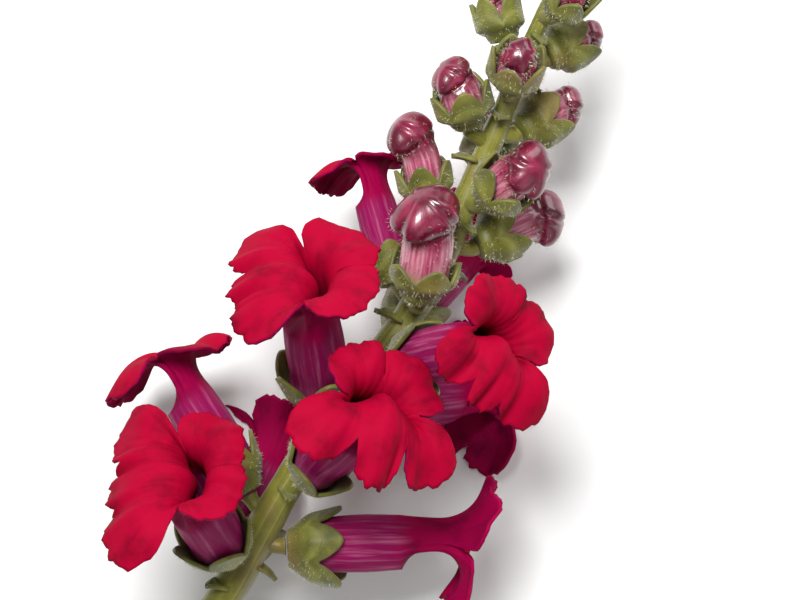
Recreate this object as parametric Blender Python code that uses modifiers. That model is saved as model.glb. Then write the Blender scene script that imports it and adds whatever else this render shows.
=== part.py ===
"""A cut snapdragon stem, lying on a surface, as one named solid for each grown piece.

Metres, +Z up. The stem runs along +Y from its cut end to the tip of the spike, and the origin
is the middle of the foot of the bounding box, on the surface that the stem lies on.
Shapes are worked out in millimetres and scaled when each mesh is made.
"""

from collections.abc import Callable
from dataclasses import dataclass
from math import cos, radians, sin

import bmesh
import bpy
import numpy as np
from mathutils import Matrix, Vector

MM = 0.001

# Driving sizes of the spike, in millimetres
STEM_PATH = (  # hand-laid route of the stem's middle: across, along, height over the surface
    (-6.0, -66.0, 3.6),
    (-4.5, -42.0, 10.0),
    (-1.6, -20.0, 17.5),
    (0.0, 0.0, 22.5),
    (0.5, 26.0, 26.0),
    (3.6, 50.0, 27.5),
    (5.8, 71.0, 28.5),
    (4.6, 88.0, 30.0),
    (2.9, 105.0, 32.0),
    (1.0, 122.0, 35.0),
    (0.2, 136.0, 38.5),
    (1.2, 147.0, 42.0),
)
STEM_RADII = (3.6, 3.5, 3.5, 3.4, 3.1, 2.9, 2.7, 2.5, 2.1, 1.6, 1.1, 0.5)
STEM_STATION_ZERO = 3  # the path point from which florets are measured along the stem
STEM_SIDES = 12
STEM_RINGS = 26
STALK_SIDES = 8

TUBE_LENGTH = 20.0
SAC_DEPTH = 1.3  # how far the tube bulges under its foot
MOUTH_HALF_WIDTH = 6.2
MOUTH_HALF_HEIGHT = 4.9
PALATE_PUFF = 0.12  # share by which the swollen palate is wider than the mouth
PALATE_SIDE = 0.15  # least share of the lips' inward run, at the mouth's corners
PALATE_GROOVE = 1.0  # depth of the groove between the palate's two humps
GROOVE_HALF = 13.0  # degrees round the mouth from the groove's middle to its side
LOWER_HALF = 100.0  # degrees each way from the mouth's bottom that the lower lip takes up
LOWER_BLEND = 20.0  # degrees over which the lower lip gives way to the upper one
FAN_END = 0.4  # share of the lower lip's length by which its lobes have fanned out
RUFFLES = 7  # waves round the whole edge
FINE_STEPS = 60  # steps by which each column of a petal is followed from rim to edge
PETAL_THICKNESS = 0.7
CALYX_THICKNESS = 0.7
BRACT_THICKNESS = 0.8
SEAT_GAP = 0.35
PEDICEL_RADIUS = 1.5
FLORET_GIRTH = 5.6  # radius of an open flower's calyx
CALYX_STAND = 1.6  # how far a bud's calyx stands out from its tube
FOOT_LIFT = 1.5  # height up a calyx at which its side comes nearest to the stem
FOOT_SHARE = 0.62  # radius of a calyx's foot, as a share of its own
CALYX_FOOT = 2.0  # depth of the underside of a calyx below the foot of its tube

FLORET_SEPAL = 9.0  # length of an open flower's sepals
FLORET_ROOM = 0.6  # clear room between a tube and its calyx
FLORET_FLARE = 0.6  # how far the sepals' tips stand off
BUD_ROOM = 0.65
BUD_FLARE = 0.2
BUD_PHASE = 36.0  # degrees round a bud to its first sepal
SEPAL_CLEFT = 0.42  # length of a calyx at its clefts, as a share of a sepal's

BRACT_BELOW = 3.5  # distance down the stem from a flower's foot to its bract
BRACT_SINK = 0.55  # share of the stem's radius at which a bract is rooted
BRACT_DROP = 1.5  # distance from a bract's place down the stem to its root
BRACT_TILT = 0.15  # lean of a bract towards the tip of the stem
BRACT_CURL = 0.22  # how far a bract's tip curls back, as a share of its length
BRACT_CUP = 0.5  # how far its sides are lifted

KNOB_START = 0.52  # share of a bud's length at which the knob of its folded lips begins
KNOB_MIDDLE = 0.76
KNOB_HALF = 0.245
NOD_START = 0.35  # share at which a bud's axis begins to nod
STRAIGHT = 0.45  # share of a bud's length that is straight
FOLD_TWO = 0.10  # share by which the knob is drawn out to two sides, and to five
FOLD_FIVE = 0.06

TIP_BUDS = 6
TIP_FIRST = 134.0  # place of the lowest of the tiny end buds along the stem
TIP_STEP = 2.1
TIP_TURN = 137.5  # degrees round the stem from each of them to the next
TIP_START = 170.0
TIP_LEAN = 38.0
TIP_CLOSE = 2.0  # degrees by which each leans less than the last
TIP_SHRINK = 0.09

FLOOR_REACH = 2.0  # depth over which petals that meet the surface are pressed flat
ORIGIN = Vector((1.53, 40.13, 0.0))  # the point, in the spike's own layout, that becomes the origin


def ease(x):
    """0 below 0, 1 above 1, and a smooth step between."""
    x = np.clip(x, 0.0, 1.0)
    return x * x * (3.0 - 2.0 * x)


def through(stops, values, at):
    """Smooth values at the places asked for, passing through the given stops (Catmull-Rom)."""
    stops, values, at = (np.asarray(a, float) for a in (stops, values, at))
    slopes = np.gradient(values, stops, axis=0)
    k = np.clip(np.searchsorted(stops, at, side="right") - 1, 0, len(stops) - 2)
    h = (stops[k + 1] - stops[k])
    u = (at - stops[k]) / h
    if values.ndim > 1:
        u, h = u[:, None], h[:, None]
    return (
        (2 * u**3 - 3 * u**2 + 1) * values[k]
        + (u**3 - 2 * u**2 + u) * h * slopes[k]
        + (-2 * u**3 + 3 * u**2) * values[k + 1]
        + (u**3 - u**2) * h * slopes[k + 1]
    )


@dataclass(frozen=True)
class Lobe:
    """One lobe of the lips, and how it runs out from the mouth's rim."""

    aim: float  # degrees round the mouth, from the top, of the side that the lobe leans out to
    length: float  # from rim to tip
    headings: tuple  # degrees outward from straight ahead, at even steps from rim to tip


@dataclass(frozen=True)
class Form:
    """The five lobes in order round the rim, and how deep each of the clefts between them is cut."""

    lobes: tuple
    clefts: tuple  # length of the petal at each cleft, the first one before the first lobe
    ruffle: float  # height of the waves near the edge
    phase: float  # where round the rim the waves start, in radians


@dataclass(frozen=True)
class Floret:
    """An open flower or a bud, by its place on the stem."""

    name: str
    station: float  # along the stem from the lowest flower
    azimuth: float  # degrees round the stem from straight up, towards +X
    lean: float  # degrees between the stem and the flower's own axis
    roll: float = 0.0
    size: float = 1.0
    reach: float = 0.6  # room left between the stem and the calyx
    climb: float = 2.5  # how far the pedicel runs along the stem
    swing: float = 0.0  # degrees that the axis turns on round the stem from the foot's azimuth
    form: Form = None

    @property
    def girth(self):
        """Radius of the calyx that holds the flower."""
        return FLORET_GIRTH * self.size


@dataclass(frozen=True)
class Bud(Floret):
    """A closed flower: a tube that ends in the knob of its folded lips."""

    length: float = 12.0
    tube: float = 3.4  # radius of the tube
    knob: float = 4.0  # radius of the knob
    nod: float = 35.0  # degrees that the knob bends down from the tube
    sepal: float = 7.0  # length of the calyx lobes

    @property
    def girth(self):
        """Radius of the calyx that holds the bud."""
        return (self.tube + CALYX_STAND) * self.size


# Degrees round the mouth's rim, clockwise from the top as seen from the front
LOBE_CENTRES = (42.0, 118.0, 180.0, 242.0, 318.0)
LOBE_EDGES = (0.0, 84.0, 150.0, 210.0, 276.0, 360.0)

# Degrees outward from straight ahead, at even steps from the rim to the tip of a lobe
UPPER_HEADINGS = (-10.0, -6.0, 4.0, 30.0, 66.0, 102.0, 124.0)
SIDE_HEADINGS = (-66.0, -40.0, 0.0, 46.0, 90.0, 120.0, 124.0)
MIDDLE_HEADINGS = (-74.0, -46.0, -2.0, 46.0, 92.0, 124.0, 130.0)


def plain_form(
    upper=UPPER_HEADINGS,
    upper_length=17.5,
    upper_aim=30.0,
    side=SIDE_HEADINGS,
    side_length=26.0,
    side_aim=165.0,
    middle=MIDDLE_HEADINGS,
    middle_length=29.0,
    right=None,
    left=None,
    side_right=None,
    side_left=None,
    clefts=(0.86, 12.0, 0.9, 0.9, 12.0),
    ruffle=0.7,
    phase=0.0,
):
    """A form with matching left and right lobes, except where one is given its own values."""
    own = {"headings": upper, "length": upper_length, "aim": upper_aim}
    low = {"headings": side, "length": side_length, "aim": side_aim}
    right, left = ({**own, **(lobe or {})} for lobe in (right, left))
    low_right, low_left = ({**low, **(lobe or {})} for lobe in (side_right, side_left))
    lobes = (
        Lobe(right["aim"], right["length"], right["headings"]),
        Lobe(low_right["aim"], low_right["length"], low_right["headings"]),
        Lobe(180.0, middle_length, middle),
        Lobe(360.0 - low_left["aim"], low_left["length"], low_left["headings"]),
        Lobe(360.0 - left["aim"], left["length"], left["headings"]),
    )
    cut = (
        clefts[0] * (right["length"] + left["length"]) / 2,
        clefts[1],
        clefts[2] * low_right["length"],
        clefts[3] * low_left["length"],
        clefts[4],
    )
    return Form(lobes, cut, ruffle, phase)


def bent(headings, *changes):
    """The headings with degrees added, the last change going on to the tip."""
    changes = list(changes) + [changes[-1]] * (len(headings) - len(changes))
    return tuple(h + c for h, c in zip(headings, changes))


def tube_section(along):
    """Half width, half height and depth of the sac under the tube, at shares of the tube's length."""
    stops = (0.0, 0.1, 0.3, 0.6, 1.0)
    width = through(stops, (2.2, 3.7, 4.6, 5.5, MOUTH_HALF_WIDTH), along)
    height = through(stops, (2.2, 3.8, 4.8, 5.2, MOUTH_HALF_HEIGHT), along)
    sac = SAC_DEPTH * np.exp(-(((np.asarray(along) - 0.16) / 0.12) ** 2))
    return width, height, sac


def tube_points(angles, along):
    """Points of the tube for angles round it (degrees) and a share of its length."""
    width, height, sac = tube_section(along)
    turn = np.radians(angles)
    x = width * np.sin(turn)
    z = height * np.cos(turn) - sac * ease(-np.cos(turn))
    return np.stack([x, np.broadcast_to(TUBE_LENGTH * along, x.shape), z], axis=-1)


def tube_jacket(height):
    """Half width, half height and sac that a calyx has to wrap, at heights up the tube."""
    width, tall, _ = tube_section(height / TUBE_LENGTH)
    return width, tall, SAC_DEPTH


def corolla_points(form, angles, tube_stops, lip_stops):
    """Rings of the petals' middle surface, from the foot of the tube to the edges of the lobes.

    A column at each angle leaves the rim and runs out along a heading that swings from inward,
    which makes the palate, to outward, which folds the lobe back. Headings, aims and lengths
    pass smoothly from each lobe to the next.
    """
    angles = np.asarray(angles, float)
    rings = [tube_points(angles, np.full(angles.shape, s)) for s in tube_stops]
    lobes = form.lobes
    around = (lobes[-1], *lobes, lobes[0])
    centres = np.array([LOBE_CENTRES[-1] - 360.0, *LOBE_CENTRES, LOBE_CENTRES[0] + 360.0])
    aims = np.array([lobe.aim for lobe in around]) + np.array([-360.0, 0, 0, 0, 0, 0, 360.0])
    k = np.clip(np.searchsorted(centres, angles, side="right") - 1, 0, len(LOBE_CENTRES))
    share = ease((angles - centres[k]) / (centres[k + 1] - centres[k]))
    fine = np.linspace(0.0, 1.0, FINE_STEPS + 1)
    table = np.array([lobe.headings for lobe in around])
    swing = through(np.linspace(0.0, 1.0, table.shape[1]), table.T, fine)
    lengths = petal_lengths(form, angles)
    whole = np.array([lobe.length for lobe in around])
    whole = whole[k] * (1 - share) + whole[k + 1] * share
    gone = np.clip(fine[:, None] * lengths / whole, 0.0, 1.0)
    step = np.minimum((gone * FINE_STEPS).astype(int), FINE_STEPS - 1)
    part = gone * FINE_STEPS - step
    before = swing[step, k] * (1 - part) + swing[step + 1, k] * part
    after = swing[step, k + 1] * (1 - part) + swing[step + 1, k + 1] * part
    heading = np.radians(before * (1 - share) + after * share)
    aim = through(centres, aims, angles)
    lower = ease((LOWER_HALF - np.abs(angles - 180.0)) / LOWER_BLEND)
    fan = np.where(lower > 0, 1 - lower + lower * ease(gone / FAN_END), 1.0)
    side = np.radians(180.0 + (aim - 180.0) * fan)
    room = np.clip(np.abs(np.cos(np.radians(angles))), PALATE_SIDE, 1.0)
    out = np.where(heading < 0, np.sin(heading) * room, np.sin(heading))
    move = np.stack([out * np.sin(side), np.cos(heading), out * np.cos(side)], axis=-1)
    normal = np.stack(
        [np.cos(heading) * np.sin(side), -np.sin(heading), np.cos(heading) * np.cos(side)],
        axis=-1,
    )
    stride = np.diff(fine, prepend=0.0)[:, None] * lengths
    lift = petal_relief(form, angles, gone)
    path = rings[-1] + np.cumsum(move * stride[..., None], axis=0) + normal * lift[..., None]
    swell = ease(gone / 0.35) * (1 - 0.5 * ease((gone - 0.5) / 0.5))
    path[..., 0] *= 1.0 + PALATE_PUFF * lower * swell
    rings += [path[round(s * FINE_STEPS)] for s in lip_stops]
    return np.array(rings)


def petal_lengths(form, angles):
    """Length of the petal from the rim to its edge in each column: round lobes between clefts."""
    edges = np.array(LOBE_EDGES)
    own = np.clip(np.searchsorted(edges, angles, side="right") - 1, 0, len(LOBE_CENTRES) - 1)
    centre = np.array(LOBE_CENTRES)[own]
    before = angles < centre
    edge = np.where(before, edges[own], edges[own + 1])
    off = np.clip(np.abs(angles - centre) / np.abs(edge - centre), 0, 1)
    cleft = np.array(form.clefts)[np.where(before, own, (own + 1) % len(form.clefts))]
    full = np.array([lobe.length for lobe in form.lobes])[own]
    return cleft + (full - cleft) * (1.0 - off**2.6) ** 0.62


def petal_relief(form, angles, gone):
    """Height of the waves near the petals' edge, less the groove between the palate's humps."""
    edge = ease((gone - 0.35) / 0.65)
    wave = form.ruffle * edge * np.sin(np.radians(angles * RUFFLES) + form.phase)
    groove = PALATE_GROOVE * np.exp(-(((angles - 180.0) / GROOVE_HALF) ** 2))
    return wave - groove * ease(gone / 0.15) * (1 - ease((gone - 0.45) / 0.25))


def sheet_mesh(name, rings, pole=None, closed=True):
    """A mesh of triangles over rings of points, with a pole that closes the first ring."""
    count, columns = rings.shape[:2]
    points = [tuple(p) for p in rings.reshape(-1, 3)]
    faces = []
    for r in range(count - 1):
        for c in range(columns if closed else columns - 1):
            a, b = r * columns + c, r * columns + (c + 1) % columns
            faces += [(a, b, b + columns), (a, b + columns, a + columns)]
    if pole is not None:
        points.append(tuple(pole))
        faces += [(len(points) - 1, (c + 1) % columns, c) for c in range(columns)]
    mesh = bpy.data.meshes.new(name)
    mesh.from_pydata([Vector(p) * MM for p in points], [], faces)
    return mesh


def press_to_surface(points, matrix, margin):
    """The points, in their own frame, with those that would sink into the surface laid on it."""
    world = points @ matrix[:3, :3].T + matrix[:3, 3]
    low = margin + FLOOR_REACH
    under = world[..., 2] < low
    sunk = world[..., 2][under] - low
    world[..., 2][under] = margin + FLOOR_REACH * np.exp(sunk / FLOOR_REACH)
    return (world - matrix[:3, 3]) @ np.linalg.inv(matrix[:3, :3]).T


def stem_frames():
    """Middle points, tangents, radii and running length of the stem, finely spaced."""
    path = np.array(STEM_PATH)
    rough = np.arange(len(path), dtype=float)
    fine = np.linspace(0, len(path) - 1, 400)
    points = through(rough, path, fine)
    radii = through(rough, np.array(STEM_RADII), fine)
    tangents = np.gradient(points, axis=0)
    tangents /= np.linalg.norm(tangents, axis=1)[:, None]
    run = np.concatenate([[0], np.cumsum(np.linalg.norm(np.diff(points, axis=0), axis=1))])
    run -= np.interp(STEM_STATION_ZERO, fine, run)
    return points, tangents, radii, run


STEM = stem_frames()


def stem_at(station):
    """The stem's middle, tangent and radius at a distance along it."""
    points, tangents, radii, run = STEM
    point = np.array([np.interp(station, run, points[:, i]) for i in range(3)])
    tangent = np.array([np.interp(station, run, tangents[:, i]) for i in range(3)])
    return point, tangent / np.linalg.norm(tangent), float(np.interp(station, run, radii))


def floret_frame(floret):
    """4 by 4 matrix of a flower: x to its side, y along its tube, z to its upper lip."""
    point, tangent, radius = stem_at(floret.station)
    up = np.array([0.0, 0.0, 1.0])
    up = up - tangent * (up @ tangent)
    up /= np.linalg.norm(up)
    right = np.cross(tangent, up)
    turn, lean = radians(floret.azimuth), radians(floret.lean)
    roll, swing = radians(floret.roll), radians(floret.swing)
    out = cos(turn) * up + sin(turn) * right
    facing = cos(turn + swing) * up + sin(turn + swing) * right
    axis = cos(lean) * tangent + sin(lean) * facing
    dorsal = sin(lean) * tangent - cos(lean) * facing
    cup = floret.girth * cos(lean) - FOOT_LIFT * sin(lean)
    foot = floret.girth * FOOT_SHARE * cos(lean) + CALYX_FOOT * sin(lean)
    stand = radius + max(cup, foot) + floret.reach
    side = np.cross(axis, dorsal)
    side, dorsal = cos(roll) * side - sin(roll) * dorsal, sin(roll) * side + cos(roll) * dorsal
    matrix = np.eye(4)
    matrix[:3, 0], matrix[:3, 1], matrix[:3, 2] = side, axis, dorsal
    matrix[:3, :3] *= floret.size
    matrix[:3, 3] = point + out * stand + tangent * floret.climb
    return matrix


def to_blender(matrix):
    """The same frame in metres, moved to the part's origin."""
    placed = Matrix([list(row) for row in matrix])
    placed.translation = (placed.translation - ORIGIN) * MM
    return placed


def material(name, colour, roughness):
    """A plain material of one colour."""
    made = bpy.data.materials.new(name)
    made.use_nodes = True
    shader = made.node_tree.nodes["Principled BSDF"]
    shader.inputs["Base Color"].default_value = (*colour, 1.0)
    shader.inputs["Roughness"].default_value = roughness
    return made


def place(name, mesh, matrix, finish, collection):
    """An object for the mesh, in its place."""
    obj = bpy.data.objects.new(name, mesh)
    obj.matrix_world = matrix
    mesh.materials.append(finish)
    collection.objects.link(obj)
    return obj


def thicken(obj, thickness):
    """Gives the object's sheet a thickness, half of it to each side."""
    solid = obj.modifiers.new("Thickness", "SOLIDIFY")
    solid.thickness = thickness * MM
    solid.offset = 0.0
    solid.use_even_offset = False


def lobe_columns():
    """Angles of the columns: each lobe's middle, its clefts and one between."""
    angles = []
    for centre, low, high in zip(LOBE_CENTRES, LOBE_EDGES, LOBE_EDGES[1:]):
        angles += [low, (low + centre) / 2, centre, (centre + high) / 2]
    return angles


TUBE_STOPS = (0.0, 0.12, 0.45, 1.0)
LIP_STOPS = (0.15, 0.3, 0.45, 0.62, 0.8, 1.0)


def make_corolla(floret, finish, collection):
    """The petals of an open flower: one thin shell from the foot of its tube to its lobes."""
    matrix = floret_frame(floret)
    rings = corolla_points(floret.form, lobe_columns(), TUBE_STOPS, LIP_STOPS)
    rings = press_to_surface(rings, matrix, PETAL_THICKNESS / 2)
    mesh = sheet_mesh(floret.name, rings, pole=(0.0, -0.2, 0.0))
    obj = place(f"corolla_{floret.name}", mesh, to_blender(matrix), finish, collection)
    thicken(obj, PETAL_THICKNESS / floret.size)
    return obj


@dataclass(frozen=True)
class Cup:
    """Shape of a calyx: five sepals whose length falls to the clefts between them."""

    sepal: float
    around: Callable  # radius pair and sac of what it wraps, at a height
    columns: int
    stops: tuple  # shares of a sepal's length at which its rings lie
    flare: float
    phase: float  # degrees round to the first sepal
    room: float


def calyx_points(cup, room):
    """Rings of the cup, at a room from what it wraps."""
    angles = np.arange(cup.columns) * 360.0 / cup.columns
    turn = np.radians(angles)
    lobes = np.abs(((angles - cup.phase) / 72.0 + 0.5) % 1.0 - 0.5) * 2.0
    length = cup.sepal * (SEPAL_CLEFT + (1 - SEPAL_CLEFT) * (1.0 - lobes**1.6) ** 0.8)
    rings = []
    for s in cup.stops:
        y = length * s - room * (1 - ease(s / 0.3))
        width, height, sac = cup.around(np.clip(y, 0, None))
        off = room + cup.flare * s**2
        foot = 0.8 + 0.2 * ease(s / 0.12)
        x = (width + off) * np.sin(turn) * foot
        z = ((height + off) * np.cos(turn) - sac * ease(-np.cos(turn))) * foot
        rings.append(np.stack([x, y, z], axis=-1))
    return np.array(rings)


def make_calyx(name, matrix, size, cup, finish, collection):
    """The green cup of five sepals at a flower's foot."""
    room = (cup.room + (PETAL_THICKNESS + CALYX_THICKNESS) / 2) / size
    rings = calyx_points(cup, room)
    rings = press_to_surface(rings, matrix, CALYX_THICKNESS / 2)
    pole = (0.0, rings[0, :, 1].mean() - 0.1, 0.0)
    mesh = sheet_mesh(name, rings, pole=pole)
    obj = place(f"calyx_{name}", mesh, to_blender(matrix), finish, collection)
    thicken(obj, CALYX_THICKNESS / size)
    return obj


def tube_radius(bud, share):
    """Radius of a bud's tube at shares of its length."""
    return bud.tube * (0.5 + 0.5 * ease(share / 0.16))


def bud_section(bud):
    """The radius pair and sac of a closed bud's tube, at heights from its foot."""

    def around(height):
        radius = tube_radius(bud, np.asarray(height, float) / bud.length)
        return radius, radius, np.zeros_like(radius)

    return around


def bud_points(bud, angles, stops):
    """Rings of a bud: its tube, then the knob of its folded lips, on an axis that nods."""
    turn = np.radians(angles)
    rings = []
    for s in stops:
        inside = max(0.0, 1.0 - ((s - KNOB_MIDDLE) / KNOB_HALF) ** 2)
        ball = bud.knob * np.sqrt(inside) if s > KNOB_START else 0.0
        mix = float(ease((s - 0.55) / 0.16))
        radius = tube_radius(bud, s) * (1 - mix) + max(ball, 0.05) * mix
        bend = radians(bud.nod) * float(ease((s - NOD_START) / 0.6))
        ahead = bud.length * min(s, STRAIGHT)
        rest = bud.length * max(0.0, s - STRAIGHT)
        centre = np.array([0.0, ahead + rest * cos(bend * 0.6), -rest * sin(bend * 0.6)])
        fold = 1.0 + mix * (FOLD_TWO * np.cos(2 * turn) + FOLD_FIVE * np.cos(5 * turn))
        x = radius * fold * np.sin(turn)
        r = radius * fold * np.cos(turn)
        rings.append(centre + np.stack([x, r * sin(bend), r * cos(bend)], axis=-1))
    return np.array(rings)


BUD_COLUMNS = 12
BUD_STOPS = (0.0, 0.08, 0.2, 0.45, 0.58, 0.68, 0.8, 0.9, 0.97)
TIP_COLUMNS = 8
TIP_STOPS = (0.0, 0.2, 0.45, 0.68, 0.85, 0.97)
BRACT_STOPS = (0.0, 0.3, 0.65, 1.0)


def closed_mesh(name, rings):
    """A closed mesh of triangles over rings, with a pole at its foot and a flat end."""
    mesh = sheet_mesh(name, rings, pole=(0.0, -0.05, 0.0))
    work = bmesh.new()
    work.from_mesh(mesh)
    bmesh.ops.contextual_create(work, geom=[e for e in work.edges if e.is_boundary])
    bmesh.ops.triangulate(work, faces=work.faces)
    bmesh.ops.recalc_face_normals(work, faces=work.faces)
    work.to_mesh(mesh)
    work.free()
    return mesh


def make_bud(bud, finish, collection):
    """The closed petals of a bud, as the one solid lump that they are."""
    matrix = floret_frame(bud)
    angles = np.arange(BUD_COLUMNS) * 360.0 / BUD_COLUMNS
    rings = press_to_surface(bud_points(bud, angles, BUD_STOPS), matrix, 0.0)
    mesh = closed_mesh(bud.name, rings)
    return place(f"bud_{bud.name}", mesh, to_blender(matrix), finish, collection)


def bract_mesh(name, length, width):
    """A small pointed leaf that curls back a little, from its root at the origin along +Y."""
    rows = []
    for s in BRACT_STOPS:
        half = width / 2 * (0.5 + 0.5 * ease(s / 0.3)) * (1.0 - 0.8 * s**2.2)
        drop = -BRACT_CURL * length * s**2
        side = drop + BRACT_CUP
        rows.append([(-half, length * s, side), (0.0, length * s, drop), (half, length * s, side)])
    return sheet_mesh(name, np.array(rows), closed=False)


def swept(name, points, radii, sides, collection):
    """A round stalk along points, with its own radius at each, made a closed mesh."""
    curve = bpy.data.curves.new(name, "CURVE")
    curve.dimensions = "3D"
    curve.bevel_depth = 1.0 * MM
    curve.bevel_resolution = sides // 4 - 1 if sides > 4 else 0
    curve.use_fill_caps = True
    spline = curve.splines.new("POLY")
    spline.points.add(len(points) - 1)
    for spot, point, radius in zip(spline.points, points, radii):
        spot.co = (*((Vector(point) - ORIGIN) * MM), 1.0)
        spot.radius = radius
    guide = bpy.data.objects.new(name, curve)
    collection.objects.link(guide)
    bpy.context.view_layer.update()
    graph = bpy.context.evaluated_depsgraph_get()
    mesh = bpy.data.meshes.new_from_object(guide.evaluated_get(graph))
    bpy.data.objects.remove(guide)
    work = bmesh.new()
    work.from_mesh(mesh)
    bmesh.ops.remove_doubles(work, verts=work.verts, dist=0.01 * MM)
    bmesh.ops.triangulate(work, faces=work.faces)
    work.to_mesh(mesh)
    work.free()
    obj = bpy.data.objects.new(name, mesh)
    collection.objects.link(obj)
    return obj


def pedicel(floret, collection):
    """The short stalk of a flower: out of the stem's middle, bending into the flower's axis."""
    point, tangent, _ = stem_at(floret.station)
    matrix = floret_frame(floret)
    axis = matrix[:3, 1] / floret.size
    end = matrix[:3, 3] - axis * (CALYX_FOOT * floret.size + SEAT_GAP)
    before = end - axis * 1.2
    start = point - tangent * 1.5
    middle = (start + before) / 2 + tangent * 0.3
    route = [start, middle, before, end]
    width = PEDICEL_RADIUS * (0.55 + 0.45 * floret.size)
    radii = [width * 0.9, width, width, width * 1.15]
    return swept(f"pedicel_{floret.name}", route, radii, STALK_SIDES, collection)


def bract(floret, finish, collection):
    """The small leaf under a flower's stalk."""
    point, tangent, radius = stem_at(floret.station - BRACT_BELOW)
    matrix = floret_frame(floret)
    axis = matrix[:3, 1] / floret.size
    out = axis - tangent * (axis @ tangent)
    out /= np.linalg.norm(out)
    along = BRACT_TILT * tangent + out
    along /= np.linalg.norm(along)
    up = np.cross(np.cross(out, along), along)
    up = -up / np.linalg.norm(up)
    if up @ tangent < 0:
        up = -up
    frame = np.eye(4)
    frame[:3, 0], frame[:3, 1], frame[:3, 2] = np.cross(along, up), along, up
    frame[:3, 3] = point + out * (radius * BRACT_SINK) - tangent * BRACT_DROP
    mesh = bract_mesh("bract", 0.5 * floret.girth + 2.4, 0.8 * floret.girth)
    obj = place(f"bract_{floret.name}", mesh, to_blender(frame), finish, collection)
    thicken(obj, BRACT_THICKNESS)
    return obj


def tip_bud(index, collection, finish):
    """One of the tiny green buds that crowd the end of the spike."""
    tiny = Bud(
        f"tip_{index}",
        TIP_FIRST + TIP_STEP * index,
        TIP_TURN * index + TIP_START,
        TIP_LEAN - TIP_CLOSE * index,
        size=1.0 - TIP_SHRINK * index,
        reach=-2.4,
        climb=0.6,
        length=5.6,
        tube=2.1,
        knob=1.9,
        nod=20.0,
    )
    angles = np.arange(TIP_COLUMNS) * 360.0 / TIP_COLUMNS
    mesh = closed_mesh(tiny.name, bud_points(tiny, angles, TIP_STOPS))
    return place(f"tip_bud_{index}", mesh, to_blender(floret_frame(tiny)), finish, collection)


def joined(base, collection, name):
    """The base with everything in the collection united to it in one Boolean, applied."""
    union = base.modifiers.new("Union", "BOOLEAN")
    union.operation = "UNION"
    union.operand_type = "COLLECTION"
    union.collection = collection
    union.solver = "MANIFOLD"
    bpy.context.view_layer.update()
    graph = bpy.context.evaluated_depsgraph_get()
    mesh = bpy.data.meshes.new_from_object(base.evaluated_get(graph))
    base.modifiers.clear()
    base.data = mesh
    base.name = name
    for obj in list(collection.objects):
        bpy.data.objects.remove(obj)
    bpy.data.collections.remove(collection)
    return base


FLORETS = (
    Floret("1", 7.0, -32.0, 62.0, roll=-45.0, form=plain_form(
        side_left={"length": 30.0, "aim": 150.0},
    )),
    Floret("2", 18.0, -96.0, 62.0, roll=10.0, size=0.95, form=plain_form(
        upper=bent(UPPER_HEADINGS, 0, 0, 10, 20, 24, 20), phase=0.8,
    )),
    Floret("3", 41.0, -38.0, 56.0, roll=-35.0, form=plain_form(upper_length=20.0, phase=1.7)),
    Floret("4", 29.0, 12.0, 50.0, roll=20.0, form=plain_form(
        middle_length=34.0,
        side_right={"length": 28.0, "aim": 145.0},
        clefts=(0.9, 12.0, 0.78, 0.78, 12.0),
        phase=2.6,
    )),
    Floret("5", 43.0, 146.0, 62.0, form=plain_form(phase=3.4)),
    Floret("6", 55.5, 33.0, 60.0, size=0.92, form=plain_form(
        right={"length": 19.0}, side_right={"length": 23.0}, phase=4.1,
    )),
    Floret("7", 13.0, 94.0, 60.0, form=plain_form(
        upper=bent(UPPER_HEADINGS, 0, 0, -8, -16, -30, -46, -60), upper_length=22.0, upper_aim=36.0, phase=5.0,
    )),
    Floret("8", 67.5, -104.0, 50.0, size=0.72, form=plain_form(upper_length=17.0, phase=0.4)),
    Floret("9", 4.0, 190.0, 44.0, size=0.9, form=plain_form(
        upper=bent(UPPER_HEADINGS, 0, 0, 0, -10, -30, -50, -60),
        side=bent(SIDE_HEADINGS, 0, 0, 0, -10, -40, -60, -60),
        middle=bent(MIDDLE_HEADINGS, 0, 0, 0, -10, -40, -60, -60),
    )),
    Floret("10", 60.0, 180.0, 46.0, size=0.9, form=plain_form(
        upper=bent(UPPER_HEADINGS, 0, 0, 0, -10, -30, -50, -60),
        side=bent(SIDE_HEADINGS, 0, 0, 0, -10, -40, -60, -60),
        middle=bent(MIDDLE_HEADINGS, 0, 0, 0, -10, -40, -60, -60),
    )),
)
BUDS = (
    Bud("1", 68.0, -4.0, 32.0, swing=-40.0, length=21.0, tube=4.8, knob=6.2, nod=30.0),
    Bud("2", 85.0, -74.0, 34.0, length=16.5, tube=3.6, knob=4.4, nod=35.0),
    Bud("3", 90.0, 34.0, 38.0, length=14.5, tube=4.2, knob=5.0, nod=35.0),
    Bud("4", 81.0, 118.0, 46.0, length=17.0, tube=4.0, knob=5.0, nod=25.0),
    Bud("5", 104.0, 128.0, 44.0, length=12.5, tube=4.0, knob=3.8, nod=30.0),
    Bud("6", 102.0, -60.0, 42.0, length=12.0, tube=4.0, knob=3.8, nod=30.0),
    Bud("7", 112.0, -6.0, 36.0, length=9.5, tube=3.6, knob=3.2, nod=30.0),
    Bud("8", 119.0, 125.0, 46.0, length=10.5, tube=3.4, knob=3.0, nod=30.0),
    Bud("9", 128.5, 24.0, 36.0, length=8.0, tube=3.0, knob=2.7, nod=30.0),
    Bud("10", 119.0, -100.0, 36.0, length=8.0, tube=3.0, knob=2.6, nod=30.0),
    Bud("11", 95.0, 178.0, 45.0, length=13.0, tube=3.8, knob=4.4, nod=40.0),
)


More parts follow.
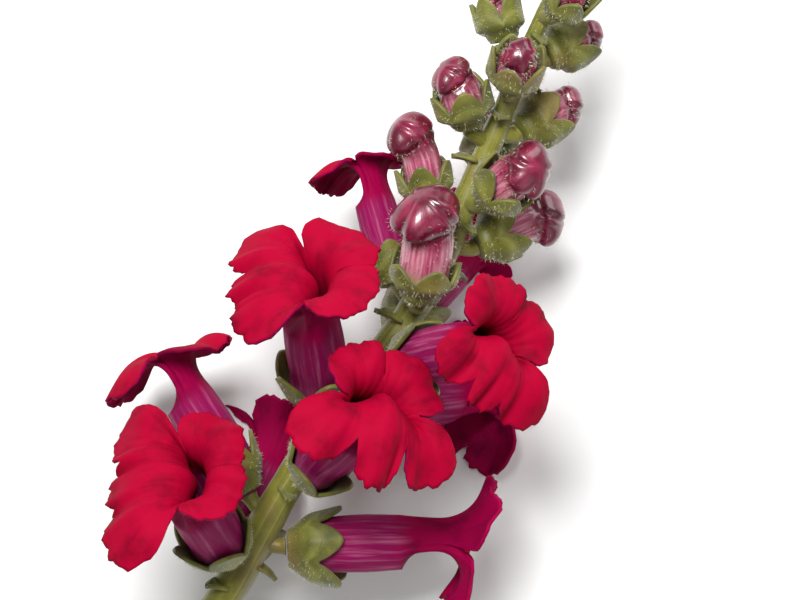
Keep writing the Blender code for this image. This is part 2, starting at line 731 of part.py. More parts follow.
def make_stem(finish, collection):
    """The stem with the stalks, bracts and tiny end buds that grow from it, in one body."""
    points, _, radii, _ = STEM
    pick = np.linspace(0, len(points) - 1, STEM_RINGS).astype(int)
    loose = bpy.data.collections.new("stem_shoots")
    bpy.context.scene.collection.children.link(loose)
    for flower in (*FLORETS, *BUDS):
        pedicel(flower, loose)
        bract(flower, finish, loose)
    for index in range(TIP_BUDS):
        tip_bud(index, loose, finish)
    base = swept("stem", points[pick], radii[pick], STEM_SIDES, collection)
    base.data.materials.append(finish)
    return joined(base, loose, "stem")


def main():
    """Builds the whole spike."""
    for obj in list(bpy.data.objects):
        bpy.data.objects.remove(obj)
    spray = bpy.data.collections.new("snapdragon_stem")
    bpy.context.scene.collection.children.link(spray)
    green = material("stem_green", (0.20, 0.22, 0.03), 0.6)
    sepal_green = material("calyx_green", (0.14, 0.20, 0.03), 0.7)
    red = material("petal_red", (0.45, 0.0, 0.025), 0.5)
    plum = material("bud_plum", (0.30, 0.02, 0.06), 0.35)
    make_stem(green, spray)
    wrap = Cup(FLORET_SEPAL, tube_jacket, 15, (0.0, 0.12, 0.35, 1.0), FLORET_FLARE, 0.0, FLORET_ROOM)
    for floret in FLORETS:
        make_corolla(floret, red, spray)
        make_calyx(floret.name, floret_frame(floret), floret.size, wrap, sepal_green, spray)
    for bud in BUDS:
        make_bud(bud, plum, spray)
        wrap = Cup(bud.sepal, bud_section(bud), 10, (0.0, 0.12, 0.5, 1.0), BUD_FLARE, BUD_PHASE, BUD_ROOM)
        make_calyx(f"bud_{bud.name}", floret_frame(bud), 1.0, wrap, sepal_green, spray)


if __name__ == "__main__":
    main()
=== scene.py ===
"""Looks of a cut snapdragon spike that lies on a pale surface.

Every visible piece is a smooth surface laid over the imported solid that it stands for: petals,
calyces, buds, the stem with its bracts, and the fine hairs of the green parts. Shapes are worked
out in millimetres in the spike's own layout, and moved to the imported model's frame in metres
when their meshes are made.
"""

from __future__ import annotations

import logging
from collections.abc import Callable
from dataclasses import dataclass, field
from enum import Enum
from math import cos, radians, sin

import bpy
import numpy as np
from mathutils import Matrix, Vector
from numpy.typing import ArrayLike

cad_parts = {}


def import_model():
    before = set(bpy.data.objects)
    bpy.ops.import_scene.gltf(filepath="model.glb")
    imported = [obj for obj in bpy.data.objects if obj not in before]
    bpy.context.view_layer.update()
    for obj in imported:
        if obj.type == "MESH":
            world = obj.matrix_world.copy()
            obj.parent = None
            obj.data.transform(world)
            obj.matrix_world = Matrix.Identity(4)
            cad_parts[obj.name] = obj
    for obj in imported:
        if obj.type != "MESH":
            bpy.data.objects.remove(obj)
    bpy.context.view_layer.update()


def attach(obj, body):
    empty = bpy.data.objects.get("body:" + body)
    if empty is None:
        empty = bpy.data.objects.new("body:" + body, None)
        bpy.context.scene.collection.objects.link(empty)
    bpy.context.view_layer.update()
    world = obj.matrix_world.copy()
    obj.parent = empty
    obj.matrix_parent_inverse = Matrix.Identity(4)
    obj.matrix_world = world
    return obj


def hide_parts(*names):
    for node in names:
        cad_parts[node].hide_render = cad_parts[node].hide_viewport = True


LOG = logging.getLogger("snapdragon")
MM = 0.001

# Driving sizes of the spike, in millimetres
STEM_PATH = (  # listed route of the stem's middle: across, along, height over the surface
    (-6.0, -66.0, 3.6),
    (-4.5, -42.0, 10.0),
    (-1.6, -20.0, 17.5),
    (0.0, 0.0, 22.5),
    (0.5, 26.0, 26.0),
    (3.6, 50.0, 27.5),
    (5.8, 71.0, 28.5),
    (4.6, 88.0, 30.0),
    (2.9, 105.0, 32.0),
    (1.0, 122.0, 35.0),
    (0.2, 136.0, 38.5),
    (1.2, 147.0, 42.0),
)
STEM_RADII = (3.6, 3.5, 3.5, 3.4, 3.1, 2.9, 2.7, 2.5, 2.1, 1.6, 1.1, 0.5)
STEM_STATION_ZERO = 3  # the path point from which florets are measured along the stem

TUBE_LENGTH = 20.0
SAC_DEPTH = 1.3  # how far the tube bulges under its foot
MOUTH_HALF_WIDTH = 6.2
MOUTH_HALF_HEIGHT = 4.9
PALATE_PUFF = 0.12  # share by which the swollen palate is wider than the mouth
PALATE_SIDE = 0.15  # least share of the lips' inward run, at the mouth's corners
PALATE_GROOVE = 1.0  # depth of the groove between the palate's two humps
GROOVE_HALF = 13.0  # degrees round the mouth from the groove's middle to its side
LOWER_HALF = 100.0  # degrees each way from the mouth's bottom that the lower lip takes up
LOWER_BLEND = 20.0  # degrees over which the lower lip gives way to the upper one
FAN_END = 0.4  # share of the lower lip's length by which its lobes have fanned out
RUFFLES = 7  # waves round the whole edge
FINE_STEPS = 60  # steps by which each column of a petal is followed from rim to edge
PETAL_THICKNESS = 0.7
CALYX_THICKNESS = 0.7
BRACT_THICKNESS = 0.8
PEDICEL_RADIUS = 1.5
FLORET_GIRTH = 5.6  # radius of an open flower's calyx
CALYX_STAND = 1.6  # how far a bud's calyx stands out from its tube
FOOT_LIFT = 1.5  # height up a calyx at which its side comes nearest to the stem
FOOT_SHARE = 0.62  # radius of a calyx's foot, as a share of its own
CALYX_FOOT = 2.0  # depth of the underside of a calyx below the foot of its tube

FLOOR_REACH = 2.0  # depth over which petals that meet the surface are pressed flat
ORIGIN = (1.53, 40.13, 0.0)  # the point, in the spike's own layout, that becomes the origin
FLORET_SEPAL = 9.0  # length of an open flower's sepals
FLORET_ROOM = 0.6  # clear room between a tube and its calyx
FLORET_FLARE = 0.6  # how far the sepals' tips stand off
BUD_ROOM = 0.65
BUD_FLARE = 0.2
BUD_PHASE = 36.0  # degrees round a bud to its first sepal
SEPAL_CLEFT = 0.42  # length of a calyx at its clefts, as a share of a sepal's

BRACT_BELOW = 3.5  # distance down the stem from a flower's foot to its bract
BRACT_SINK = 0.55  # share of the stem's radius at which a bract is rooted
BRACT_DROP = 1.5  # distance from a bract's place down the stem to its root
BRACT_TILT = 0.15  # lean of a bract towards the tip of the stem
BRACT_CURL = 0.22  # how far a bract's tip curls back, as a share of its length
BRACT_CUP = 0.5  # how far its sides are lifted

KNOB_START = 0.52  # share of a bud's length at which the knob of its folded lips begins
KNOB_MIDDLE = 0.76
KNOB_HALF = 0.245
NOD_START = 0.35  # share at which a bud's axis begins to nod
STRAIGHT = 0.45  # share of a bud's length that is straight
FOLD_TWO = 0.10  # share by which the knob is drawn out to two sides, and to five
FOLD_FIVE = 0.06
# Creases of the knob: degrees round to it, degrees that it winds on, half width and depth
CREASES = ((62.0, 60.0, 9.0, 0.15), (298.0, -40.0, 9.0, 0.15), (180.0, 25.0, 10.0, 0.10))

TIP_BUDS = 6
TIP_FIRST = 134.0  # place of the lowest of the tiny end buds along the stem
TIP_STEP = 2.1
TIP_TURN = 137.5  # degrees round the stem from each of them to the next
TIP_START = 170.0
TIP_LEAN = 38.0
TIP_CLOSE = 2.0  # degrees by which each leans less than the last
TIP_SHRINK = 0.09

HAIRS_ON_CUP = 420  # number of hairs on an open flower's calyx
HAIRS_ON_BUD_CUP = 380
HAIRS_ON_BUD = 260
HAIRS_ON_STEM = 1500
HAIRS_ON_TIP = 60
HAIR_LENGTH = 0.75
HAIR_WIDTH = 0.07
HAIR_WILD = 0.35  # how far hairs stray from straight out

# Degrees round the mouth's rim, clockwise from the top as seen from the front
LOBE_CENTRES = (42.0, 118.0, 180.0, 242.0, 318.0)
LOBE_EDGES = (0.0, 84.0, 150.0, 210.0, 276.0, 360.0)

# Degrees outward from straight ahead, at even steps from the rim to the tip of a lobe
UPPER_HEADINGS = (-10.0, -6.0, 4.0, 30.0, 66.0, 102.0, 124.0)
SIDE_HEADINGS = (-66.0, -40.0, 0.0, 46.0, 90.0, 120.0, 124.0)
MIDDLE_HEADINGS = (-74.0, -46.0, -2.0, 46.0, 92.0, 124.0, 130.0)


class Slot(Enum):
    """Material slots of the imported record."""

    STEM = "stem"
    CALYX = "calyx"
    PETALS = "petals"
    BUDS = "buds"


def ease(x: ArrayLike) -> np.ndarray:
    """A smooth step.

    Args:
        x: Values of any shape.

    Returns:
        0 where x is below 0, 1 where it is above 1, and a smooth step between.
    """
    x = np.clip(x, 0.0, 1.0)
    return x * x * (3.0 - 2.0 * x)


def through(stops: ArrayLike, values: ArrayLike, at: ArrayLike) -> np.ndarray:
    """A smooth curve through given values (Catmull-Rom).

    Args:
        stops: Rising places of the values.
        values: One value or one row for each stop.
        at: Places asked for.

    Returns:
        The values at those places.
    """
    stops, values, at = (np.asarray(a, float) for a in (stops, values, at))
    slopes = np.gradient(values, stops, axis=0)
    k = np.clip(np.searchsorted(stops, at, side="right") - 1, 0, len(stops) - 2)
    h = stops[k + 1] - stops[k]
    u = (at - stops[k]) / h
    if values.ndim > 1:
        u, h = u[:, None], h[:, None]
    return (
        (2 * u**3 - 3 * u**2 + 1) * values[k]
        + (u**3 - 2 * u**2 + u) * h * slopes[k]
        + (-2 * u**3 + 3 * u**2) * values[k + 1]
        + (u**3 - u**2) * h * slopes[k + 1]
    )


@dataclass
class Patch:
    """A grid of points with two named numbers at each, ready to become part of a mesh.

    Args:
        points: Rings by columns by 3, in millimetres in the layout.
        along: How far along the organ each point lies.
        round: Degrees round it.
        closed: Whether each ring closes on itself.
        pole: A point that closes the first ring, or None.
        tip: A point that closes the last ring, or None.
    """

    points: np.ndarray
    along: np.ndarray
    round: np.ndarray
    closed: bool = True
    pole: np.ndarray | None = None
    tip: np.ndarray | None = None

    def vertices(self) -> np.ndarray:
        """All points in one list, the poles last.

        Returns:
            An array of n by 3.
        """
        extra = [np.asarray(p, float)[None] for p in (self.pole, self.tip) if p is not None]
        return np.concatenate([self.points.reshape(-1, 3), *extra])

    def numbers(self) -> tuple[np.ndarray, np.ndarray]:
        """The two numbers of every vertex, in the order of vertices().

        Returns:
            The along values and the round values.
        """
        shape = self.points.shape[:2]
        along = np.broadcast_to(self.along, shape).ravel()
        around = np.broadcast_to(self.round, shape).ravel()
        ends = [v for v, p in ((along[0], self.pole), (along[-1], self.tip)) if p is not None]
        return np.concatenate([along, ends]), np.concatenate([around, np.zeros(len(ends))])

    def quads(self) -> np.ndarray:
        """Corner numbers of the grid's faces.

        Returns:
            An array of n by 4.
        """
        rows, columns = self.points.shape[:2]
        r = np.arange(rows - 1)[:, None] * columns
        c = np.arange(columns if self.closed else columns - 1)[None, :]
        d = (c + 1) % columns
        return np.stack([r + c, r + d, r + columns + d, r + columns + c], axis=-1).reshape(-1, 4)

    def caps(self) -> np.ndarray:
        """Corner numbers of the triangles round the poles.

        Returns:
            An array of n by 3.
        """
        rows, columns = self.points.shape[:2]
        c = np.arange(columns)
        d = (c + 1) % columns
        top = rows * columns
        fans = []
        if self.pole is not None:
            fans.append(np.stack([np.full(columns, top), d, c], axis=-1))
            top += 1
        if self.tip is not None:
            last = (rows - 1) * columns
            fans.append(np.stack([last + c, last + d, np.full(columns, top)], axis=-1))
        return np.concatenate(fans) if fans else np.zeros((0, 3), int)


@dataclass
class Surface:
    """Patches that make up one mesh object.

    Args:
        name: Name of the object.
        patches: Its patches.
    """

    name: str
    patches: list[Patch] = field(default_factory=list)

    def to_object(self, origin: np.ndarray) -> bpy.types.Object:
        """Makes the object, with its place in its mesh.

        Args:
            origin: The layout point, in millimetres, that is the model's origin.

        Returns:
            The linked object.
        """
        vertices, quads, caps, along, around = [], [], [], [], []
        start = 0
        for patch in self.patches:
            points = patch.vertices()
            vertices.append(points)
            quads.append(patch.quads() + start)
            caps.append(patch.caps() + start)
            numbers = patch.numbers()
            along.append(numbers[0])
            around.append(numbers[1])
            start += len(points)
        mesh = bpy.data.meshes.new(self.name)
        points = (np.concatenate(vertices) - origin) * MM
        faces = np.concatenate(quads).tolist() + np.concatenate(caps).tolist()
        mesh.from_pydata(points.tolist(), [], faces)
        for label, values in (("along", along), ("round", around)):
            layer = mesh.attributes.new(label, "FLOAT", "POINT")
            layer.data.foreach_set("value", np.concatenate(values).astype(np.float32))
        mesh.shade_smooth()
        made = bpy.data.objects.new(self.name, mesh)
        bpy.context.scene.collection.objects.link(made)
        return made


@dataclass(frozen=True)
class Lobe:
    """One lobe of the lips, and how it runs out from the mouth's rim.

    Args:
        aim: Degrees round the mouth, from the top, of the side that it leans out to.
        length: Millimetres from rim to tip.
        headings: Degrees outward from straight ahead, at even steps from rim to tip.
    """

    aim: float
    length: float
    headings: tuple


@dataclass(frozen=True)
class Form:
    """The five lobes in order round the rim, and the clefts between them.

    Args:
        lobes: The lobes.
        clefts: Length of the petal at each cleft, the first one before the first lobe.
        ruffle: Height of the waves near the edge.
        phase: Where round the rim the waves start, in radians.
    """

    lobes: tuple
    clefts: tuple
    ruffle: float
    phase: float


@dataclass(frozen=True)
class Floret:
    """An open flower or a bud, by its place on the stem.

    Args:
        name: Number in its node's name.
        station: Millimetres along the stem from the lowest flower.
        azimuth: Degrees round the stem from straight up, towards the right.
        lean: Degrees between the stem and the flower's own axis.
        roll: Degrees that it is turned about that axis.
        size: Scale of the whole flower.
        reach: Room left between the stem and the calyx.
        climb: How far its stalk runs along the stem.
        swing: Degrees that the axis turns on round the stem from the foot's azimuth.
        form: Shape of the lips.
    """

    name: str
    station: float
    azimuth: float
    lean: float
    roll: float = 0.0
    size: float = 1.0
    reach: float = 0.6
    climb: float = 2.5
    swing: float = 0.0
    form: Form = None

    @property
    def girth(self) -> float:
        """Radius of the calyx that holds the flower."""
        return FLORET_GIRTH * self.size


@dataclass(frozen=True)
class Bud(Floret):
    """A closed flower: a tube that ends in the knob of its folded lips.

    Args:
        length: Millimetres from foot to tip.
        tube: Radius of the tube.
        knob: Radius of the knob.
        nod: Degrees that the knob bends down from the tube.
        sepal: Length of the calyx lobes.
    """

    length: float = 12.0
    tube: float = 3.4
    knob: float = 4.0
    nod: float = 35.0
    sepal: float = 7.0

    @property
    def girth(self) -> float:
        """Radius of the calyx that holds the bud."""
        return (self.tube + CALYX_STAND) * self.size


def plain_form(
    upper: tuple = UPPER_HEADINGS,
    upper_length: float = 17.5,
    upper_aim: float = 30.0,
    side: tuple = SIDE_HEADINGS,
    side_length: float = 26.0,
    side_aim: float = 165.0,
    middle: tuple = MIDDLE_HEADINGS,
    middle_length: float = 29.0,
    right: dict | None = None,
    left: dict | None = None,
    side_right: dict | None = None,
    side_left: dict | None = None,
    clefts: tuple = (0.86, 12.0, 0.9, 0.9, 12.0),
    ruffle: float = 0.7,
    phase: float = 0.0,
) -> Form:
    """A form with matching left and right lobes, except where one is given its own values.

    Args:
        upper: Headings of the upper lobes.
        upper_length: Their length.
        upper_aim: Degrees round the mouth that they lean out to.
        side: Headings of the lower lip's side lobes.
        side_length: Their length.
        side_aim: Degrees round the mouth that they lean out to.
        middle: Headings of the lower lip's middle lobe.
        middle_length: Its length.
        right: Values of the right upper lobe that differ.
        left: Values of the left upper lobe that differ.
        side_right: Values of the right side lobe that differ.
        side_left: Values of the left side lobe that differ.
        clefts: Lengths at the clefts. The first, third and fourth are shares of their lobes'.
        ruffle: Height of the waves near the edge.
        phase: Where round the rim the waves start, in radians.

    Returns:
        The form.
    """
    own = {"headings": upper, "length": upper_length, "aim": upper_aim}
    low = {"headings": side, "length": side_length, "aim": side_aim}
    right, left = ({**own, **(lobe or {})} for lobe in (right, left))
    low_right, low_left = ({**low, **(lobe or {})} for lobe in (side_right, side_left))
    lobes = (
        Lobe(right["aim"], right["length"], right["headings"]),
        Lobe(low_right["aim"], low_right["length"], low_right["headings"]),
        Lobe(180.0, middle_length, middle),
        Lobe(360.0 - low_left["aim"], low_left["length"], low_left["headings"]),
        Lobe(360.0 - left["aim"], left["length"], left["headings"]),
    )
    cut = (
        clefts[0] * (right["length"] + left["length"]) / 2,
        clefts[1],
        clefts[2] * low_right["length"],
        clefts[3] * low_left["length"],
        clefts[4],
    )
    return Form(lobes, cut, ruffle, phase)


def bent(headings: tuple, *changes: float) -> tuple:
    """Headings with degrees added, the last change going on to the tip.

    Args:
        headings: The headings.
        *changes: Degrees to add to each, from the rim.

    Returns:
        The new headings.
    """
    changes = list(changes) + [changes[-1]] * (len(headings) - len(changes))
    return tuple(h + c for h, c in zip(headings, changes))


def tube_section(along: ArrayLike) -> tuple[np.ndarray, np.ndarray, np.ndarray]:
    """The cross-section of an open flower's tube.

    Args:
        along: Shares of the tube's length.

    Returns:
        Half width, half height and depth of the sac under the tube.
    """
    stops = (0.0, 0.1, 0.3, 0.6, 1.0)
    width = through(stops, (2.2, 3.7, 4.6, 5.5, MOUTH_HALF_WIDTH), along)
    height = through(stops, (2.2, 3.8, 4.8, 5.2, MOUTH_HALF_HEIGHT), along)
    sac = SAC_DEPTH * np.exp(-(((np.asarray(along) - 0.16) / 0.12) ** 2))
    return width, height, sac


def tube_jacket(height: np.ndarray) -> tuple[np.ndarray, np.ndarray, float]:
    """What the calyx of an open flower has to wrap.

    Args:
        height: Heights up the tube.

    Returns:
        Half width, half height and depth of the sac.
    """
    width, tall, _ = tube_section(height / TUBE_LENGTH)
    return width, tall, SAC_DEPTH


def tube_radius(bud: Bud, share: ArrayLike) -> np.ndarray:
    """The radius of a bud's tube.

    Args:
        bud: The bud.
        share: Shares of its length.

    Returns:
        The radii.
    """
    return bud.tube * (0.5 + 0.5 * ease(np.asarray(share, float) / 0.16))


def bud_section(bud: Bud) -> Callable:
    """What the calyx of a bud has to wrap.

    Args:
        bud: The bud.

    Returns:
        A function that gives half width, half height and sac at heights from the bud's foot.
    """

    def around(height: np.ndarray) -> tuple[np.ndarray, np.ndarray, np.ndarray]:
        """The tube's radius twice, and no sac."""
        radius = tube_radius(bud, height / bud.length)
        return radius, radius, np.zeros_like(radius)

    return around


def tip_bud_place(index: int) -> Bud:
    """One of the tiny green buds that crowd the end of the spike.

    Args:
        index: Its number, from the lowest.

    Returns:
        The bud.
    """
    return Bud(
        f"tip_{index}",
        TIP_FIRST + TIP_STEP * index,
        TIP_TURN * index + TIP_START,
        TIP_LEAN - TIP_CLOSE * index,
        size=1.0 - TIP_SHRINK * index,
        reach=-2.4,
        climb=0.6,
        length=5.6,
        tube=2.1,
        knob=1.9,
        nod=20.0,
    )


# Lips that spread without folding back, for the two flowers that the photograph hides
OPENED = plain_form(
    upper=bent(UPPER_HEADINGS, 0, 0, 0, -10, -30, -50, -60),
    side=bent(SIDE_HEADINGS, 0, 0, 0, -10, -40, -60, -60),
    middle=bent(MIDDLE_HEADINGS, 0, 0, 0, -10, -40, -60, -60),
)
FLORETS = (
    Floret("1", 7.0, -32.0, 62.0, roll=-45.0, form=plain_form(
        side_left={"length": 30.0, "aim": 150.0},
    )),
    Floret("2", 18.0, -96.0, 62.0, roll=10.0, size=0.95, form=plain_form(
        upper=bent(UPPER_HEADINGS, 0, 0, 10, 20, 24, 20), phase=0.8,
    )),
    Floret("3", 41.0, -38.0, 56.0, roll=-35.0, form=plain_form(upper_length=20.0, phase=1.7)),
    Floret("4", 29.0, 12.0, 50.0, roll=20.0, form=plain_form(
        middle_length=34.0,
        side_right={"length": 28.0, "aim": 145.0},
        clefts=(0.9, 12.0, 0.78, 0.78, 12.0),
        phase=2.6,
    )),
    Floret("5", 43.0, 146.0, 62.0, form=plain_form(phase=3.4)),
    Floret("6", 55.5, 33.0, 60.0, size=0.92, form=plain_form(
        right={"length": 19.0}, side_right={"length": 23.0}, phase=4.1,
    )),
    Floret("7", 13.0, 94.0, 60.0, form=plain_form(
        upper=bent(UPPER_HEADINGS, 0, 0, -8, -16, -30, -46, -60),
        upper_length=22.0,
        upper_aim=36.0,
        phase=5.0,
    )),
    Floret("8", 67.5, -104.0, 50.0, size=0.72, form=plain_form(upper_length=17.0, phase=0.4)),
    Floret("9", 4.0, 190.0, 44.0, size=0.9, form=OPENED),
    Floret("10", 60.0, 180.0, 46.0, size=0.9, form=OPENED),
)
BUDS = (
    Bud("1", 68.0, -4.0, 32.0, swing=-40.0, length=21.0, tube=4.8, knob=6.2, nod=30.0),
    Bud("2", 85.0, -74.0, 34.0, length=16.5, tube=3.6, knob=4.4, nod=35.0),
    Bud("3", 90.0, 34.0, 38.0, length=14.5, tube=4.2, knob=5.0, nod=35.0),
    Bud("4", 81.0, 118.0, 46.0, length=17.0, tube=4.0, knob=5.0, nod=25.0),
    Bud("5", 104.0, 128.0, 44.0, length=12.5, tube=4.0, knob=3.8, nod=30.0),
    Bud("6", 102.0, -60.0, 42.0, length=12.0, tube=4.0, knob=3.8, nod=30.0),
    Bud("7", 112.0, -6.0, 36.0, length=9.5, tube=3.6, knob=3.2, nod=30.0),
    Bud("8", 119.0, 125.0, 46.0, length=10.5, tube=3.4, knob=3.0, nod=30.0),
    Bud("9", 128.5, 24.0, 36.0, length=8.0, tube=3.0, knob=2.7, nod=30.0),
    Bud("10", 119.0, -100.0, 36.0, length=8.0, tube=3.0, knob=2.6, nod=30.0),
    Bud("11", 95.0, 178.0, 45.0, length=13.0, tube=3.8, knob=4.4, nod=40.0),
)


class StemRoute:
    """The stem's middle line, with its direction, radius and running length."""

    FINE = 400

    def __init__(self) -> None:
        """Works the line out from the listed route."""
        path = np.array(STEM_PATH)
        rough = np.arange(len(path), dtype=float)
        self.share = np.linspace(0, len(path) - 1, self.FINE)
        self.points = through(rough, path, self.share)
        self.radii = through(rough, np.array(STEM_RADII), self.share)
        tangents = np.gradient(self.points, axis=0)
        self.tangents = tangents / np.linalg.norm(tangents, axis=1)[:, None]
        gaps = np.linalg.norm(np.diff(self.points, axis=0), axis=1)
        run = np.concatenate([[0], np.cumsum(gaps)])
        self.run = run - np.interp(STEM_STATION_ZERO, self.share, run)

    def at(self, station: float) -> tuple[np.ndarray, np.ndarray, float]:
        """The stem at a distance along it.

        Args:
            station: Millimetres from the lowest flower.

        Returns:
            Its middle, its direction and its radius.
        """
        point = np.array([np.interp(station, self.run, self.points[:, i]) for i in range(3)])
        tangent = np.array([np.interp(station, self.run, self.tangents[:, i]) for i in range(3)])
        radius = float(np.interp(station, self.run, self.radii))
        return point, tangent / np.linalg.norm(tangent), radius

    def seat(self, floret: Floret) -> np.ndarray:
        """The frame that a flower is built in.

        Args:
            floret: The flower or bud.

        Returns:
            4 by 4 matrix: x to its side, y along its tube, z to its upper lip.
        """
        point, tangent, radius = self.at(floret.station)
        up = np.array([0.0, 0.0, 1.0])
        up = up - tangent * (up @ tangent)
        up /= np.linalg.norm(up)
        right = np.cross(tangent, up)
        turn, lean, roll, swing = (
            radians(a) for a in (floret.azimuth, floret.lean, floret.roll, floret.swing)
        )
        out = cos(turn) * up + sin(turn) * right
        facing = cos(turn + swing) * up + sin(turn + swing) * right
        axis = cos(lean) * tangent + sin(lean) * facing
        dorsal = sin(lean) * tangent - cos(lean) * facing
        cup = floret.girth * cos(lean) - FOOT_LIFT * sin(lean)
        foot = floret.girth * FOOT_SHARE * cos(lean) + CALYX_FOOT * sin(lean)
        stand = radius + max(cup, foot) + floret.reach
        side = np.cross(axis, dorsal)
        side, dorsal = cos(roll) * side - sin(roll) * dorsal, sin(roll) * side + cos(roll) * dorsal
        matrix = np.eye(4)
        matrix[:3, 0], matrix[:3, 1], matrix[:3, 2] = side, axis, dorsal
        matrix[:3, :3] *= floret.size
        matrix[:3, 3] = point + out * stand + tangent * floret.climb
        return matrix


def settle(points: np.ndarray, matrix: np.ndarray, margin: float) -> np.ndarray:
    """Moves an organ to its place and presses what meets the surface flat onto it.

    Args:
        points: Points in the organ's own frame.
        matrix: The frame's 4 by 4 matrix.
        margin: Least height over the surface.

    Returns:
        The points in the layout.
    """
    world = points @ matrix[:3, :3].T + matrix[:3, 3]
    low = margin + FLOOR_REACH
    sunk = np.minimum(world[..., 2] - low, 0.0)
    pressed = margin + FLOOR_REACH * np.exp(sunk / FLOOR_REACH)
    world[..., 2] = np.where(sunk < 0, pressed, world[..., 2])
    return world


@dataclass
class Corolla:
    """The petals of an open flower, as one sheet from the foot of the tube to the lobes' edges.

    A column at each angle round the tube runs up it to the mouth's rim, and out from there along
    a heading that swings from inward, which makes the palate, to outward, which folds the lobe
    back. Headings, aims and lengths pass smoothly from each lobe to the next. Fine pleats and
    ruffles are added along the surface's own normal.

    Args:
        floret: The flower.
        matrix: Its frame.
        columns: Columns round the tube.
        tube_rings: Rings up the tube.
        lip_rings: Rings over the lips.
        pleat: Height of the fine pleats along the lobes.
        frill: Height of the small irregular ruffles at the edge.
    """

    floret: Floret
    matrix: np.ndarray
    columns: int = 150
    tube_rings: int = 16
    lip_rings: int = 34
    pleat: float = 0.05
    frill: float = 0.45

    def surface(self) -> Surface:
        """Builds the sheet.

        Returns:
            The surface, named for its flower.
        """
        angles = np.arange(self.columns) * 360.0 / self.columns
        tube = np.linspace(0.0, 1.0, self.tube_rings)
        lips = np.linspace(0.0, 1.0, self.lip_rings + 1)[1:]
        rings = np.concatenate([self._tube(angles, tube), self._lips(angles, lips)])
        rings = settle(rings, self.matrix, PETAL_THICKNESS / 2)
        pole = settle(np.array([0.0, -0.2, 0.0]), self.matrix, PETAL_THICKNESS / 2)
        along = np.concatenate([tube, 1.0 + lips])[:, None]
        patch = Patch(rings, along, angles[None, :], pole=pole)
        return Surface(f"petals_{self.floret.name}", [patch])

    def _tube(self, angles: np.ndarray, along: np.ndarray) -> np.ndarray:
        """Rings of the tube, with ten faint ribs.

        Args:
            angles: Degrees round it.
            along: Shares of its length.

        Returns:
            Rings by columns by 3, in the flower's frame.
        """
        width, height, sac = tube_section(along[:, None])
        turn = np.radians(angles)[None, :]
        ribs = 1.0 + 0.012 * np.cos(turn * 10.0) * ease(along[:, None] / 0.4)
        x = width * np.sin(turn) * ribs
        z = height * np.cos(turn) * ribs - sac * ease(-np.cos(turn))
        y = np.broadcast_to(TUBE_LENGTH * along[:, None], x.shape)
        return np.stack([x, y, z], axis=-1)

    def _lips(self, angles: np.ndarray, stops: np.ndarray) -> np.ndarray:
        """Rings of the lips, each column followed from the rim in fine steps.

        A step goes cos(heading) ahead and sin(heading) out towards the column's aim. Steps that
        lead inward are shortened at the mouth's corners, where they would meet.

        Args:
            angles: Degrees round the mouth.
            stops: Shares of each column's length.

        Returns:
            Rings by columns by 3, in the flower's frame.
        """
        rim = self._tube(angles, np.array([1.0]))[0]
        lobes = self.floret.form.lobes
        around = (lobes[-1], *lobes, lobes[0])
        centres = np.array([LOBE_CENTRES[-1] - 360.0, *LOBE_CENTRES, LOBE_CENTRES[0] + 360.0])
        aims = np.array([lobe.aim for lobe in around]) + np.array([-360.0, 0, 0, 0, 0, 0, 360.0])
        k = np.clip(np.searchsorted(centres, angles, side="right") - 1, 0, len(LOBE_CENTRES))
        share = ease((angles - centres[k]) / (centres[k + 1] - centres[k]))
        fine = np.linspace(0.0, 1.0, FINE_STEPS + 1)
        table = np.array([lobe.headings for lobe in around])
        swing = through(np.linspace(0.0, 1.0, table.shape[1]), table.T, fine)
        lengths = self._lengths(angles)
        whole = np.array([lobe.length for lobe in around])
        whole = whole[k] * (1 - share) + whole[k + 1] * share
        spot = np.clip(fine[:, None] * lengths / whole, 0.0, 1.0) * FINE_STEPS
        low = np.minimum(spot.astype(int), FINE_STEPS - 1)
        part = spot - low
        before = swing[low, k] * (1 - part) + swing[low + 1, k] * part
        after = swing[low, k + 1] * (1 - part) + swing[low + 1, k + 1] * part
        heading = np.radians(before * (1 - share) + after * share)
        aim = through(centres, aims, angles)
        lower = ease((LOWER_HALF - np.abs(angles - 180.0)) / LOWER_BLEND)
        gone = spot / FINE_STEPS
        fan = np.where(lower > 0, 1 - lower + lower * ease(gone / FAN_END), 1.0)
        side = np.radians(180.0 + (aim - 180.0) * fan)
        room = np.clip(np.abs(np.cos(np.radians(angles))), PALATE_SIDE, 1.0)
        out = np.sin(heading)
        out = np.where(out < 0, out * room, out)
        move = np.stack([out * np.sin(side), np.cos(heading), out * np.cos(side)], axis=-1)
        ahead = np.cos(heading)
        normal = np.stack([ahead * np.sin(side), -np.sin(heading), ahead * np.cos(side)], axis=-1)
        step = np.diff(fine, prepend=0.0)[:, None] * lengths
        lift = self._relief(angles, gone)
        path = rim + np.cumsum(move * step[..., None], axis=0) + normal * lift[..., None]
        swell = ease(gone / 0.35) * (1 - 0.5 * ease((gone - 0.5) / 0.5))
        path[..., 0] *= 1.0 + PALATE_PUFF * lower * swell
        flat = path.reshape(len(fine), -1)
        return through(fine, flat, stops).reshape(len(stops), len(angles), 3)

